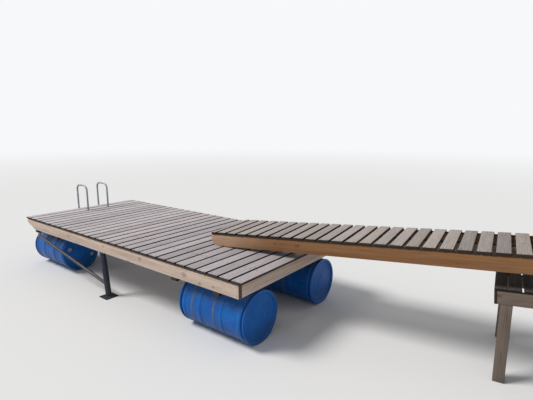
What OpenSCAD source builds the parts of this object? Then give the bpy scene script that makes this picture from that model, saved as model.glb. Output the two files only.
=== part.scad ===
// A wooden jetty: a boarded pontoon on plastic drums, with steel legs and a swim ladder,
// reached by a boarded gangway that lies on its deck and on a low landing at the shore.
// +X runs along the pontoon towards the shore, +Y across it, +Z up.
// The origin is the centre of the near leg's foot, on the level that everything stands on.

/* [Pontoon deck] */
// Length of the deck boards, which is the width of the pontoon
deck_w = 2000; // [1600:10:2400]
// Width of one deck board
deck_board_w = 138; // [120:1:150]
// Thickness of the deck boards
deck_board_t = 25; // [20:1:32]
// Open gap between two deck boards
deck_gap = 26.5; // [20:0.5:34]
// Number of deck boards, odd so that a board lies over the middle
deck_boards = 29; // [27:2:31]
// How far the end boards reach past the beams' ends
nosing = 35; // [10:1:50]

/* [Pontoon frame] */
// Height of the lengthwise beams and joists
beam_h = 150; // [130:1:200]
// Thickness of the lengthwise beams and joists
beam_t = 48; // [40:1:60]
// Height left at the lake ends, where the lower corner is cut away
snipe_tip_h = 62; // [50:1:90]
// Length of that sloping cut
snipe_len = 250; // [150:1:255]
// Thickness of the cross bearers below the beams
bearer_t = 38; // [30:1:60]
// Width of the cross bearers
bearer_w = 95; // [70:1:110]
// From the beams' ends to the outer bearers' outer edges
bearer_inset = 262; // [258:1:320]
// How far each inner bearer's middle lies over its drum's end
bearer_on_drum = 12; // [10:1:30]

/* [Drums] */
// Radius of a drum's plain wall
drum_r = 285.5; // [260:0.5:300]
// How far the rolling hoops and the shoulders stand out of the wall
hoop_rise = 7; // [5:0.5:12]
// Width of a rolling hoop
hoop_w = 46; // [36:1:60]
// Width of the raised band at each end of a drum, with its carrying ring
shoulder_w = 96; // [90:1:120]
// Length of a drum
drum_len = 960; // [900:1:980]
// Thickness of the carrying ring round each end
ring_t = 16; // [10:1:20]
// Width of the groove behind that ring
groove_w = 24; // [16:1:30]
// Depth of that groove
groove_depth = 20; // [18:1:26]
// Radius of the rounded edge between the groove and the wall
drum_edge_r = 16; // [12:1:17]
// Width of the flat rim round each end
rim_w = 30; // [24:1:36]
// Depth of the sunk end plate
drum_end_sink = 14; // [8:1:20]
// From the pontoon's beam ends to the drums' outer ends
drum_end_inset = 14; // [0:1:40]
// From the pontoon's side to the drums' rolling hoops
drum_side_inset = 71; // [66:1:120]
// Radius of a bung
bung_r = 32; // [22:1:34]
// Distance of the bungs from the drum's axis
bung_offset = 192; // [180:1:194]
// Turn of the pair of bungs from level
bung_turn = 23; // [0:1:90]
// Width of the straps round drum and joist
strap_w = 25; // [15:1:26]
// Thickness of the straps
strap_t = 2; // [1:0.5:3]

/* [Legs and braces] */
// Radius of the leg tubes
leg_r = 38; // [30:0.5:45]
// Wall of the leg tubes
leg_wall = 3.6; // [2:0.2:6]
// Slope of the legs from upright, their feet towards the shore
leg_rake = 7.5; // [0:0.5:10]
// From the pontoon's side to the legs' axes
leg_inset = 36; // [30:1:48]
// From the pontoon's middle to the legs' feet, towards the lake
leg_from_middle = 59; // [0:1:200]
// Thickness of the plates at the legs' ends
plate_t = 8; // [6:1:12]
// Side of the foot plates
foot_plate_w = 180; // [140:1:220]
// Radius of the four holes in each foot plate
foot_hole_r = 7; // [5:0.5:10]
// Distance of those holes from the foot plate's edges
foot_hole_in = 25; // [20:1:32]
// Length of the top plates along the beam
top_plate_len = 170; // [140:1:240]
// Width of the top plates
top_plate_w = 100; // [84:1:104]
// Radius of the brace tubes
brace_r = 21; // [15:0.5:26]
// Wall of the brace tubes
brace_wall = 3; // [2:0.2:5]
// Height of the point where brace and leg axes meet
brace_foot_h = 166; // [120:1:220]
// From the bearer's underside down to the brace's bolt
hanger_drop = 66; // [50:1:90]
// Width of the hanger plates
hanger_w = 70; // [60:1:90]
// Radius of the brace bolts
brace_bolt_r = 6; // [5:0.5:8]

/* [Ladder] */
// Distance between the axes of the ladder's two side tubes
ladder_w = 385; // [340:1:460]
// Distance of the ladder's middle from the near side of the pontoon
ladder_y = 1100; // [800:1:1300]
// Radius of the ladder tubes
rail_r = 15; // [12:0.5:19]
// Height of the handrail hoops above the deck
rail_h = 450; // [350:1:600]
// Distance between the two uprights of a hoop
rail_reach = 330; // [240:1:380]
// Bend radius of the hoops
rail_bend_r = 90; // [60:1:110]
// Clearance between the ladder's side tubes and the end board
ladder_clear = 3; // [1:1:10]
// Radius of the foot flanges on the deck
flange_r = 42; // [30:1:48]
// Thickness of the foot flanges
flange_t = 5; // [4:1:8]
// Height of the lower end of the side tubes
ladder_low = 40; // [10:1:80]
// Number of treads
treads = 3; // [2:1:3]
// Spacing of the treads
tread_step = 225; // [180:1:230]
// Depth of a tread from front to back
tread_d = 70; // [50:1:90]
// Thickness of the tread plate
tread_t = 4; // [3:0.5:6]
// Height of a tread with its turned down lips
tread_h = 25; // [18:1:40]

/* [Gangway] */
// Width of the gangway, which is the length of its boards
gangway_w = 810; // [600:5:1000]
// Width of one gangway board
gangway_board_w = 119; // [95:1:125]
// Open gap between two gangway boards
gangway_gap = 32.5; // [22:0.5:40]
// Number of gangway boards, with the narrow first one
gangway_boards = 28; // [26:1:30]
// Width of the first, narrow board at the low end
first_board_w = 62; // [50:1:100]
// Height of the gangway's beams
gangway_beam_h = 148; // [120:1:180]
// Thickness of the gangway's beams
gangway_beam_t = 48; // [40:1:60]
// Thickness of the gangway's boards
gangway_board_t = 25; // [20:1:32]
// Slope of the gangway, rising towards the shore
gangway_slope = 4.4; // [2:0.1:8]
// Turn of the gangway from the pontoon's length
gangway_yaw = 7.08; // [0:0.02:12]
// Place of the low end's near corner along the pontoon, from the pontoon's middle
gangway_from_middle = 1280; // [1100:1:1600]
// Place of that corner across the pontoon, from its near side
gangway_from_side = 752; // [300:1:900]
// Length of the level seat where each beam rests on the deck
seat_len = 60; // [30:1:120]
// How far the beams' upper corner reaches past the seat
end_reach = 50; // [20:1:80]
// Height of the cut at the lower corner of the beams' low end
end_cut_h = 70; // [40:1:100]

/* [Landing] */
// From the gangway's low end to the landing's first board, along the gangway
landing_start = 3067; // [2900:1:3200]
// Width of the landing, which is the length of its boards
landing_w = 1000; // [800:5:1300]
// Number of landing boards
landing_boards = 11; // [10:1:13]
// Width of one landing board
landing_board_w = 98; // [80:1:110]
// Gap between two landing boards
landing_gap = 13; // [8:0.5:20]
// Thickness of the landing boards
landing_board_t = 25; // [20:1:32]
// Height of the landing's beams
landing_beam_h = 120; // [95:1:150]
// Thickness of the landing's beams
landing_beam_t = 45; // [38:1:60]
// Thickness of the boards that close the landing's frame at its ends
landing_end_t = 22; // [16:1:40]
// Side of the square landing posts
post_side = 95; // [70:1:120]
// Height of the sill that carries the gangway on the landing
sill_h = 150; // [100:1:180]
// Width of that sill
sill_w = 95; // [60:1:120]
// From the gangway's shore end to the sill's middle
sill_inset = 120; // [80:1:260]

/* [Hidden] */

// Fineness of round solids, all of them above the size where a circle counts as a polygon
round_fn = 96;
// Running clearance of straps, slots and bolts
clear = 0.3;

// Heights, from the ground up
drum_axis_z = drum_r + hoop_rise;
bearer_z = drum_axis_z + drum_r + hoop_rise;
beam_z = bearer_z + bearer_t;
beam_top_z = beam_z + beam_h;
deck_z = beam_top_z + deck_board_t;

// Places along the pontoon
middle_x = leg_from_middle;
deck_pitch = deck_board_w + deck_gap;
deck_len = deck_boards * deck_pitch - deck_gap;
deck_start_x = middle_x - deck_len / 2;
beam_len = deck_len - 2 * nosing;
lake_x = middle_x - beam_len / 2;
shore_x = middle_x + beam_len / 2;
drum_outer = beam_len / 2 - drum_end_inset;
drum_inner = drum_outer - drum_len;
outer_bearer = beam_len / 2 - bearer_inset - bearer_w / 2;
inner_bearer = drum_inner + bearer_on_drum;
// Each strap lies in a gap between boards, counted in boards from the middle
strap_places = [(deck_boards - 10) / 2, (deck_boards - 6) / 2];

// Places across the pontoon
near_y = -leg_inset;
far_y = near_y + deck_w;
drum_axis_y = near_y + drum_side_inset + hoop_rise + drum_r;
centre_y = near_y + deck_w / 2;

// The leg's top lies towards the lake of its foot
leg_top_x = -beam_z * tan(leg_rake);
brace_low = [-brace_foot_h * tan(leg_rake), 0, brace_foot_h];
brace_high = [middle_x - outer_bearer, 0, bearer_z - hanger_drop];
brace_run = brace_high - brace_low;
brace_angle = atan2(brace_run[2], -brace_run[0]);
brace_len = norm(brace_run);

// Places of the ladder
rail_outer_x = deck_start_x - ladder_clear - rail_r;
rail_inner_x = rail_outer_x + rail_reach;
ladder_mid_y = near_y + ladder_y;

// Lengths of the gangway, in its own frame: x along it, y across, z square to its boards
gangway_pitch = gangway_board_w + gangway_gap;
gangway_deck_len = first_board_w + (gangway_boards - 1) * gangway_pitch;
gangway_len = gangway_deck_len - end_reach;
gangway_corner = [
    middle_x + gangway_from_middle,
    near_y + gangway_from_side,
    deck_z - seat_len * sin(gangway_slope)
];

// Levels of the landing in the gangway's frame
landing_top = -sill_h;
landing_beam_top = landing_top - landing_board_t;
landing_beam_z = landing_beam_top - landing_beam_h;
landing_pitch = landing_board_w + landing_gap;
landing_len = landing_boards * landing_pitch - landing_gap;
landing_end = landing_start + landing_len;

// Mirrors a near side piece to the far side as well
module both_sides() {
    children();
    translate([0, 2 * centre_y, 0]) mirror([0, 1, 0]) children();
}

// Mirrors a piece at the shore end to the lake end
module to_lake_end() {
    translate([2 * middle_x, 0, 0]) mirror([1, 0, 0]) children();
}

module on_far_side() {
    translate([0, 2 * centre_y, 0]) mirror([0, 1, 0]) children();
}

// Puts pieces into the gangway's own frame
module on_gangway() {
    translate(gangway_corner) rotate([0, 0, gangway_yaw]) rotate([0, -gangway_slope, 0]) children();
}

// A lengthwise timber of the pontoon, with the sloping cut at its lake end
module long_timber(y, from_x, to_x) {
    translate([0, y + beam_t, beam_z]) rotate([90, 0, 0]) linear_extrude(beam_t) polygon([
        [from_x, beam_h],
        [to_x, beam_h],
        [to_x, 0],
        [lake_x + snipe_len, 0],
        [from_x, (beam_h - snipe_tip_h) * (1 - (from_x - lake_x) / snipe_len)]
    ]);
}

module near_side_beam() {
    color([0.70, 0.60, 0.46]) long_timber(near_y, lake_x, shore_x);
}

module far_side_beam() {
    color([0.70, 0.60, 0.46]) long_timber(far_y - beam_t, lake_x, shore_x);
}

module pontoon_joists() {
    joist_ys = [drum_axis_y, centre_y, 2 * centre_y - drum_axis_y];
    color([0.62, 0.52, 0.40]) for (y = joist_ys)
        long_timber(y - beam_t / 2, lake_x + beam_t, shore_x - beam_t);
}

module lake_end_beam() {
    // As high as the sloping cut leaves room for, behind the beams' tips
    end_h = snipe_tip_h;
    color([0.66, 0.56, 0.43]) translate([lake_x, near_y + beam_t, beam_top_z - end_h])
        cube([beam_t, deck_w - 2 * beam_t, end_h]);
}

module shore_end_beam() {
    color([0.66, 0.56, 0.43]) translate([shore_x - beam_t, near_y + beam_t, beam_z])
        cube([beam_t, deck_w - 2 * beam_t, beam_h]);
}

module bearer_pair() {
    for (from_middle = [inner_bearer, outer_bearer])
        translate([middle_x + from_middle - bearer_w / 2, near_y, bearer_z])
            cube([bearer_w, deck_w, bearer_t]);
}

module lake_bearers() {
    color([0.72, 0.63, 0.50]) to_lake_end() bearer_pair();
}

module shore_bearers() {
    color([0.72, 0.63, 0.50]) bearer_pair();
}

module deck_boards() {
    color([0.66, 0.61, 0.56]) for (i = [0 : deck_boards - 1])
        translate([deck_start_x + i * deck_pitch, near_y, beam_top_z])
            cube([deck_board_w, deck_w, deck_board_t]);
}

// Half outline of a drum: radius against distance along its axis
function drum_outline() =
    let (
        r = drum_r,
        top = drum_r + hoop_rise,
        low = top - groove_depth,
        e = drum_edge_r,
        corner = 3,
        slope = 12,
        third = drum_len / 3,
        behind = ring_t + groove_w,
        rim = top - rim_w,
        ring = [
            [top - corner, 0], [top, corner], [top, ring_t - corner], [top - corner, ring_t],
            [low + corner, ring_t], [low, ring_t + corner]
        ],
        edge = [for (a = [0 : 15 : 90]) [top - e + e * sin(a), behind + e - e * cos(a)]],
        shoulder = concat(ring, [[low, behind]], edge, [[top, shoulder_w - slope], [r, shoulder_w]]),
        hoops = [for (c = [third, drum_len - third]) each [
            [r, c - hoop_w / 2],
            [top, c - hoop_w / 2 + slope],
            [top, c + hoop_w / 2 - slope],
            [r, c + hoop_w / 2]
        ]]
    )
    concat(
        [[0, drum_end_sink], [rim - 6, drum_end_sink], [rim, 0]],
        shoulder,
        hoops,
        [for (i = [len(shoulder) - 1 : -1 : 0]) [shoulder[i][0], drum_len - shoulder[i][1]]],
        [[rim, drum_len], [rim - 6, drum_len - drum_end_sink], [0, drum_len - drum_end_sink]]
    );

// The near drum at the shore end, its axis along the pontoon
module drum() {
    color([0.03, 0.27, 0.62]) translate([middle_x + drum_inner, drum_axis_y, drum_axis_z])
        rotate([0, 90, 0]) rotate_extrude($fn = round_fn) polygon(drum_outline());
}

module shore_near_drum() {
    drum();
}

module shore_far_drum() {
    on_far_side() drum();
}

module lake_near_drum() {
    to_lake_end() drum();
}

module lake_far_drum() {
    on_far_side() to_lake_end() drum();
}

// Two screwed bungs in the drum's inner end, each with a square key hole
module bung_pair() {
    bung_h = drum_end_sink - 2;
    key = bung_r * 0.55;
    translate([middle_x + drum_inner + drum_end_sink, drum_axis_y, drum_axis_z])
        rotate([180 - bung_turn, 0, 0]) for (side = [-1, 1])
            translate([0, side * bung_offset, 0]) rotate([0, -90, 0]) difference() {
                cylinder(r = bung_r, h = bung_h, $fn = round_fn);
                translate([-key, -key, bung_h / 2]) cube([2 * key, 2 * key, bung_h]);
            }
}

module drum_bungs() {
    color([0.55, 0.57, 0.58]) both_sides() {
        bung_pair();
        to_lake_end() bung_pair();
    }
}

// Where a line from the point p touches a circle of radius r about the origin, on the +Y side
function touch_point(p, r) = let (a = atan2(p[1], p[0]) - acos(r / norm(p))) [r * cos(a), r * sin(a)];

// The filled outline of a band pulled round the drum and over the top of a joist
module strap_form(r, half_w, top, h) {
    t = touch_point([half_w, top], r);
    cylinder(r = r, h = h, $fn = round_fn);
    linear_extrude(h) polygon([[half_w, top], t, [0, 0], [-t[0], t[1]], [-half_w, top]]);
}

// One taut strap, which passes over the joist in a gap between deck boards
module strap(from_middle) {
    top = beam_top_z - drum_axis_z;
    translate([middle_x + from_middle - strap_w / 2, drum_axis_y, drum_axis_z])
        rotate([90, 0, 90]) difference() {
            strap_form(drum_r + clear + strap_t, beam_t / 2 + strap_t, top + strap_t, strap_w);
            translate([0, 0, -1]) strap_form(drum_r + clear, beam_t / 2, top, strap_w + 2);
        }
}

module shore_straps() {
    color([0.20, 0.27, 0.36]) both_sides() for (place = strap_places) strap(place * deck_pitch);
}

module lake_straps() {
    to_lake_end() shore_straps();
}

// A straight solid tube along the leg's axis
module leg_axis(r) {
    reach = 200;
    translate([0, 0, 0]) rotate([0, -leg_rake, 0]) translate([0, 0, -reach])
        cylinder(r = r, h = beam_z / cos(leg_rake) + 2 * reach, $fn = round_fn);
}

module leg() {
    low = plate_t;
    high = beam_z - plate_t;
    color([0.55, 0.57, 0.59]) intersection() {
        difference() {
            leg_axis(leg_r);
            leg_axis(leg_r - leg_wall);
        }
        translate([leg_top_x - foot_plate_w, -foot_plate_w, low])
            cube([foot_plate_w * 2 - leg_top_x, foot_plate_w * 2, high - low]);
    }
}

module near_leg() {
    leg();
}

module far_leg() {
    on_far_side() leg();
}

module leg_foot_plates() {
    color([0.52, 0.54, 0.56]) both_sides() difference() {
        translate([-foot_plate_w / 2, -foot_plate_w / 2, 0]) cube([foot_plate_w, foot_plate_w, plate_t]);
        for (sx = [-1, 1], sy = [-1, 1])
            translate([sx * (foot_plate_w / 2 - foot_hole_in), sy * (foot_plate_w / 2 - foot_hole_in), -1])
                cylinder(r = foot_hole_r, h = plate_t + 2, $fn = 24);
    }
}

module leg_top_plates() {
    color([0.62, 0.63, 0.64]) both_sides()
        translate([leg_top_x - top_plate_len / 2, near_y, beam_z - plate_t])
            cube([top_plate_len, top_plate_w, plate_t]);
}

// Lays a cylinder's axis from the lower brace point towards the upper one
module along_brace() {
    translate(brace_low) rotate([0, -90 + brace_angle, 0]) children();
}

module brace() {
    past_bolt = 26;
    slot_len = 2 * past_bolt + hanger_w / 2;
    color([0.60, 0.61, 0.62]) difference() {
        along_brace() cylinder(r = brace_r, h = brace_len + past_bolt, $fn = round_fn);
        along_brace() translate([0, 0, -1])
            cylinder(r = brace_r - brace_wall, h = brace_len + past_bolt + 2, $fn = round_fn);
        leg_axis(leg_r);
        along_brace() translate([-brace_r - 1, -plate_t / 2 - clear, brace_len - slot_len / 2])
            cube([2 * brace_r + 2, plate_t + 2 * clear, slot_len + past_bolt]);
        translate(brace_high) rotate([90, 0, 0])
            cylinder(r = brace_bolt_r + clear, h = 4 * brace_r, center = true, $fn = 48);
    }
}

module near_brace() {
    brace();
}

module far_brace() {
    on_far_side() brace();
}

// An angle plate under the outer lake bearer, with the brace's bolt through it
module brace_hangers() {
    below_bolt = 24;
    top_w = 78;
    color([0.60, 0.61, 0.62]) both_sides() difference() {
        union() {
            translate([brace_high[0] - hanger_w / 2, -plate_t / 2, brace_high[2] - below_bolt])
                cube([hanger_w, plate_t, hanger_drop + below_bolt]);
            translate([brace_high[0] - hanger_w / 2, -plate_t / 2, bearer_z - plate_t])
                cube([hanger_w, top_w, plate_t]);
        }
        translate(brace_high) rotate([90, 0, 0])
            cylinder(r = brace_bolt_r + clear, h = 4 * brace_r, center = true, $fn = 48);
    }
}

module brace_bolts() {
    head_r = brace_bolt_r * 1.8;
    head_h = brace_bolt_r * 1.3;
    color([0.70, 0.70, 0.70]) both_sides() translate(brace_high) rotate([90, 0, 0]) {
        cylinder(r = brace_bolt_r, h = 2 * brace_r, center = true, $fn = 48);
        for (side = [-1, 1]) translate([0, 0, side * (brace_r + head_h / 2)])
            cylinder(r = head_r, h = head_h, center = true, $fn = 6);
    }
}

// A quarter bend of the rail tube, from upright to level
module rail_elbow() {
    rotate([90, 0, 0]) rotate_extrude(angle = 90, $fn = round_fn)
        translate([rail_bend_r, 0]) circle(r = rail_r, $fn = 32);
}

// One side of the ladder: a hoop from the deck over to the side tube in the water
module ladder_rail(y) {
    straight_h = rail_h - rail_bend_r - rail_r;
    color([0.52, 0.53, 0.55]) translate([0, y, 0]) {
        translate([rail_inner_x, 0, deck_z]) cylinder(r = flange_r, h = flange_t, $fn = round_fn);
        translate([rail_inner_x, 0, deck_z]) cylinder(r = rail_r, h = straight_h, $fn = 32);
        translate([rail_inner_x - rail_bend_r, 0, deck_z + straight_h]) rail_elbow();
        translate([rail_outer_x + rail_bend_r, 0, deck_z + straight_h + rail_bend_r]) rotate([0, 90, 0])
            cylinder(r = rail_r, h = rail_reach - 2 * rail_bend_r, $fn = 32);
        translate([rail_outer_x + rail_bend_r, 0, deck_z + straight_h]) mirror([1, 0, 0]) rail_elbow();
        translate([rail_outer_x, 0, ladder_low])
            cylinder(r = rail_r, h = deck_z + straight_h - ladder_low, $fn = 32);
    }
}

module near_ladder_rail() {
    ladder_rail(ladder_mid_y - ladder_w / 2);
}

module far_ladder_rail() {
    ladder_rail(ladder_mid_y + ladder_w / 2);
}

// Plate treads with turned down lips, between the side tubes
module ladder_treads() {
    tread_len = ladder_w - 2 * rail_r;
    first_drop = 215;
    color([0.56, 0.57, 0.59]) for (i = [0 : treads - 1])
        translate([rail_outer_x - tread_d / 2, ladder_mid_y - tread_len / 2,
                   deck_z - first_drop - i * tread_step]) difference() {
            cube([tread_d, tread_len, tread_h]);
            translate([tread_t, -1, -1]) cube([tread_d - 2 * tread_t, tread_len + 2, tread_h - tread_t + 1]);
        }
}

// Trims the low end of the gangway's timbers level, so that they sit flat on the deck
module seated_on_deck() {
    difference() {
        on_gangway() children();
        translate([gangway_corner[0] - gangway_w, near_y, deck_z - gangway_beam_h])
            cube([3 * gangway_w, deck_w, gangway_beam_h]);
    }
}

// A gangway beam, with its lower corner cut away at the low end
module gangway_beam(y) {
    color([0.62, 0.42, 0.22]) seated_on_deck() translate([0, y + gangway_beam_t, 0])
        rotate([90, 0, 0]) linear_extrude(gangway_beam_t) polygon([
            [-end_reach, gangway_beam_h],
            [gangway_len, gangway_beam_h],
            [gangway_len, 0],
            [0, 0],
            [-end_reach, end_cut_h]
        ]);
}

module gangway_near_beam() {
    gangway_beam(0);
}

module gangway_far_beam() {
    gangway_beam(gangway_w - gangway_beam_t);
}

module gangway_joist() {
    color([0.58, 0.40, 0.22]) seated_on_deck()
        translate([gangway_beam_t, gangway_w / 2 - gangway_beam_t / 2, 0])
            cube([gangway_len - 2 * gangway_beam_t, gangway_beam_t, gangway_beam_h]);
}

// A cross timber that closes the gangway's frame at one end
module gangway_trimmer(x) {
    color([0.58, 0.40, 0.22]) seated_on_deck() translate([x, gangway_beam_t, 0])
        cube([gangway_beam_t, gangway_w - 2 * gangway_beam_t, gangway_beam_h]);
}

module gangway_low_trimmer() {
    gangway_trimmer(0);
}

module gangway_high_trimmer() {
    gangway_trimmer(gangway_len - gangway_beam_t);
}

module gangway_boards() {
    color([0.68, 0.64, 0.58]) on_gangway() translate([-end_reach, 0, gangway_beam_h]) {
        cube([first_board_w, gangway_w, gangway_board_t]);
        for (i = [1 : gangway_boards - 1])
            translate([first_board_w + gangway_gap + (i - 1) * gangway_pitch, 0, 0])
                cube([gangway_board_w, gangway_w, gangway_board_t]);
    }
}

module gangway_sill() {
    color([0.60, 0.50, 0.38]) on_gangway()
        translate([gangway_len - sill_inset - sill_w / 2, 0, landing_top])
            cube([sill_w, gangway_w, sill_h]);
}

// A landing timber along the gangway, between the boards that close the frame's ends
module landing_long_beam(y) {
    on_gangway() translate([landing_start + landing_end_t, y, landing_beam_z])
        cube([landing_len - 2 * landing_end_t, landing_beam_t, landing_beam_h]);
}

module landing_front_beam() {
    color([0.56, 0.52, 0.47]) landing_long_beam(0);
}

module landing_back_beam() {
    color([0.56, 0.52, 0.47]) landing_long_beam(landing_w - landing_beam_t);
}

module landing_joist() {
    color([0.54, 0.50, 0.45]) landing_long_beam(landing_w / 2 - landing_beam_t / 2);
}

// A board across the landing that closes its frame, its end grain in line with the front beam
module landing_end_beam(x) {
    color([0.54, 0.50, 0.45]) on_gangway() translate([x, 0, landing_beam_z])
        cube([landing_end_t, landing_w, landing_beam_h]);
}

module landing_low_beam() {
    landing_end_beam(landing_start);
}

module landing_high_beam() {
    landing_end_beam(landing_end - landing_end_t);
}

// Upright posts from the ground to the underside of the sloping landing frame
module landing_posts() {
    run = cos(gangway_slope);
    tall = 2 * deck_z;
    color([0.50, 0.46, 0.41]) difference() {
        translate([gangway_corner[0], gangway_corner[1], 0]) rotate([0, 0, gangway_yaw])
            for (x = [landing_start * run + post_side, landing_end * run - post_side],
                 y = [0, landing_w - post_side])
                translate([x - post_side / 2 + landing_lean, y, 0]) cube([post_side, post_side, tall]);
        on_gangway() translate([landing_start - tall, -tall, landing_beam_z])
            cube([landing_len + 2 * tall, landing_w + 2 * tall, 2 * tall]);
    }
}

// The landing's underside lies this far towards the shore, because the frame is tilted
landing_lean = -landing_beam_z * sin(gangway_slope);

module landing_boards() {
    color([0.55, 0.52, 0.48]) on_gangway() for (i = [0 : landing_boards - 1])
        translate([landing_start + i * landing_pitch, 0, landing_beam_top])
            cube([landing_board_w, landing_w, landing_board_t]);
}

near_side_beam();
far_side_beam();
pontoon_joists();
lake_end_beam();
shore_end_beam();
lake_bearers();
shore_bearers();
deck_boards();
lake_near_drum();
lake_far_drum();
shore_near_drum();
shore_far_drum();
drum_bungs();
lake_straps();
shore_straps();
near_leg();
far_leg();
leg_foot_plates();
leg_top_plates();
near_brace();
far_brace();
brace_hangers();
brace_bolts();
near_ladder_rail();
far_ladder_rail();
ladder_treads();
gangway_near_beam();
gangway_far_beam();
gangway_joist();
gangway_low_trimmer();
gangway_high_trimmer();
gangway_boards();
gangway_sill();
landing_front_beam();
landing_back_beam();
landing_low_beam();
landing_high_beam();
landing_joist();
landing_posts();
landing_boards();
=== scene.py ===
# %% [markdown]
# # A wooden jetty on blue drums
#
# The object is a boarded pontoon that rests on four plastic drums and two raked steel
# legs, with a swim ladder at its lake end. A boarded gangway lies on its deck and climbs
# to a low, older landing at the shore. The solid model already has every form at its real
# size. This script dresses it: rounded and slightly uneven timber with grain, knots and
# grey weathering, screws and their stains, moulded drums with bungs, woven straps with
# buckles, and dull galvanised steel with its welds and bolts.

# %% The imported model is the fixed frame
import math
from collections import namedtuple
from functools import reduce
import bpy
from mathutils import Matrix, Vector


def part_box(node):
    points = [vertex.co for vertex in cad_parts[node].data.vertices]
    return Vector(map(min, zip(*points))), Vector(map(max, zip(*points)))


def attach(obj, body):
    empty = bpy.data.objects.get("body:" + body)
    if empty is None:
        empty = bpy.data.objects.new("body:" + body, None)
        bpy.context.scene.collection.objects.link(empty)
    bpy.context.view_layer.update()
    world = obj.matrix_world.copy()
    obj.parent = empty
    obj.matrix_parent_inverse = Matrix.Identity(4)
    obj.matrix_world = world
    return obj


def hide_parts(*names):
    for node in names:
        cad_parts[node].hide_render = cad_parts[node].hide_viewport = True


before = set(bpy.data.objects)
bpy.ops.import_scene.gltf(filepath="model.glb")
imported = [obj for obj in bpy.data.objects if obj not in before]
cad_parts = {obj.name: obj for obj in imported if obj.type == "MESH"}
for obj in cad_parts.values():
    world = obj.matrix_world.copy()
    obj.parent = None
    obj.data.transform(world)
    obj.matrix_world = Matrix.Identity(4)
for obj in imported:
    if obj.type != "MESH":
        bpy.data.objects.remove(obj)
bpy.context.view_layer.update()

from types import SimpleNamespace

import bpy
import numpy as np
from mathutils import Matrix


# %% [markdown]
# ## The camera
# The photograph was taken from a little over two metres above the level that the jetty
# stands on, looking slightly down. A camera could be aimed at a target by a constraint,
# but one that is solved from the photograph has a place and a turn of its own, so that
# render and photograph can be laid over each other. The three vectors below are the
# camera's own axes in the model's frame: its right, its up and where it looks.

# %% The camera, as solved from the photograph
CAMERA_AT = (4.8491, -2.7653, 2.2730)
CAMERA_RIGHT = (0.79069, 0.61222, 0.0)
CAMERA_UP = (-0.10999, 0.14206, 0.98373)
CAMERA_FORWARD = (-0.60226, 0.77782, -0.17966)
LENS_MM = 27.22
SENSOR_MM = 36.0


def new_object(name, data):
    """Makes an object at the origin, and links it into the scene."""
    made = bpy.data.objects.new(name, data)
    bpy.context.scene.collection.objects.link(made)
    return made


def stand(thing, right, up, back, at=(0.0, 0.0, 0.0)):
    """Turns and places a camera or lamp: its own three axes are the columns of its matrix."""
    placed = np.eye(4)
    placed[:3] = np.column_stack([right, up, back, at])
    thing.matrix_world = Matrix(placed.tolist())


camera_data = bpy.data.cameras.new("camera")
camera_data.lens = LENS_MM
camera_data.sensor_width = SENSOR_MM
camera_data.sensor_fit = "HORIZONTAL"
camera_data.clip_end = 400.0
camera = new_object("camera", camera_data)
stand(camera, CAMERA_RIGHT, CAMERA_UP, -np.array(CAMERA_FORWARD), CAMERA_AT)
bpy.context.scene.camera = camera
print("camera at", CAMERA_AT, "looking along", CAMERA_FORWARD)


# %% [markdown]
# ## Materials as programs of nodes
# Every material is a small program of shader nodes. Nodes could be placed and joined one
# by one, which takes a dozen lines for one short sum. To keep such a program as short as
# a formula, each output of a node is wrapped in a small class of its own, on which the
# usual signs of arithmetic add the nodes that do them.

# %% Arithmetic on what comes out of a node
class Flow:
    """One output of a node. A sign between it and another flow or a plain value adds a Math
    node to the same tree, or a Vector Math node where it is a vector."""

    def __init__(self, socket):
        self.socket = socket
        self.tree = socket.id_data
        self.is_vector = socket.type == "VECTOR"

    def step(self, operation, *others):
        """One step of arithmetic by its Blender name, with this flow first."""
        kind = "ShaderNodeVectorMath" if self.is_vector else "ShaderNodeMath"
        values = dict(enumerate((self, *others)))
        return add(self.tree, kind, values, int(operation == "LENGTH"), operation=operation)

    def __add__(self, other):
        return self.step("ADD", other)

    def __sub__(self, other):
        return self.step("SUBTRACT", other)

    def __mul__(self, other):
        return self.step("MULTIPLY", other)

    def __truediv__(self, other):
        return self.step("DIVIDE", other)

    def __pow__(self, other):
        return self.step("POWER", other)

    def __abs__(self):
        """The size of a number, or the length of a vector."""
        return self.step("LENGTH" if self.is_vector else "ABSOLUTE")

    def at_least(self, other):
        """The larger of the two."""
        return self.step("MAXIMUM", other)

    def at_most(self, other):
        """The smaller of the two."""
        return self.step("MINIMUM", other)

    def clamped(self):
        """Holds the last sum or product between 0 and 1."""
        self.socket.node.use_clamp = True
        return self

    def ramp(self, low, high, to_low=0.0, to_high=1.0, smooth=True):
        """Carries the range low to high onto to_low to to_high, with soft ends unless told."""
        fields = {"Value": self, "From Min": low, "From Max": high, "To Min": to_low, "To Max": to_high}
        kind = "SMOOTHSTEP" if smooth else "LINEAR"
        return add(self.tree, "ShaderNodeMapRange", fields, interpolation_type=kind)

    def parts(self):
        """The three parts of a vector as three numbers."""
        return add(self.tree, "ShaderNodeSeparateXYZ", {0: self}, (0, 1, 2))


# %% Adding nodes
def fill(socket, value):
    """Joins a socket to a flow, or gives it a plain value; a colour may lack its alpha."""
    if isinstance(value, Flow):
        value.tree.links.new(value.socket, socket)
    elif socket.type == "RGBA" and len(value) == 3:
        socket.default_value = (*value, 1.0)
    else:
        socket.default_value = value


def add(tree, kind, inputs=None, take=0, **settings):
    """Adds one node, sets its properties, and joins or fills its inputs by name or number.
    Returns the output that take names, or a list of them where it names several."""
    node = tree.nodes.new(kind)
    for key, value in settings.items():
        setattr(node, key, value)
    for key, value in (inputs or {}).items():
        fill(node.inputs[key], value)
    if isinstance(take, tuple):
        return [Flow(node.outputs[key]) for key in take]
    return Flow(node.outputs[take])


# %% Nodes that nearly every material uses
def object_point(tree):
    """The place of a point in the model, as a vector in metres."""
    return add(tree, "ShaderNodeTexCoord", take="Object")


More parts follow.
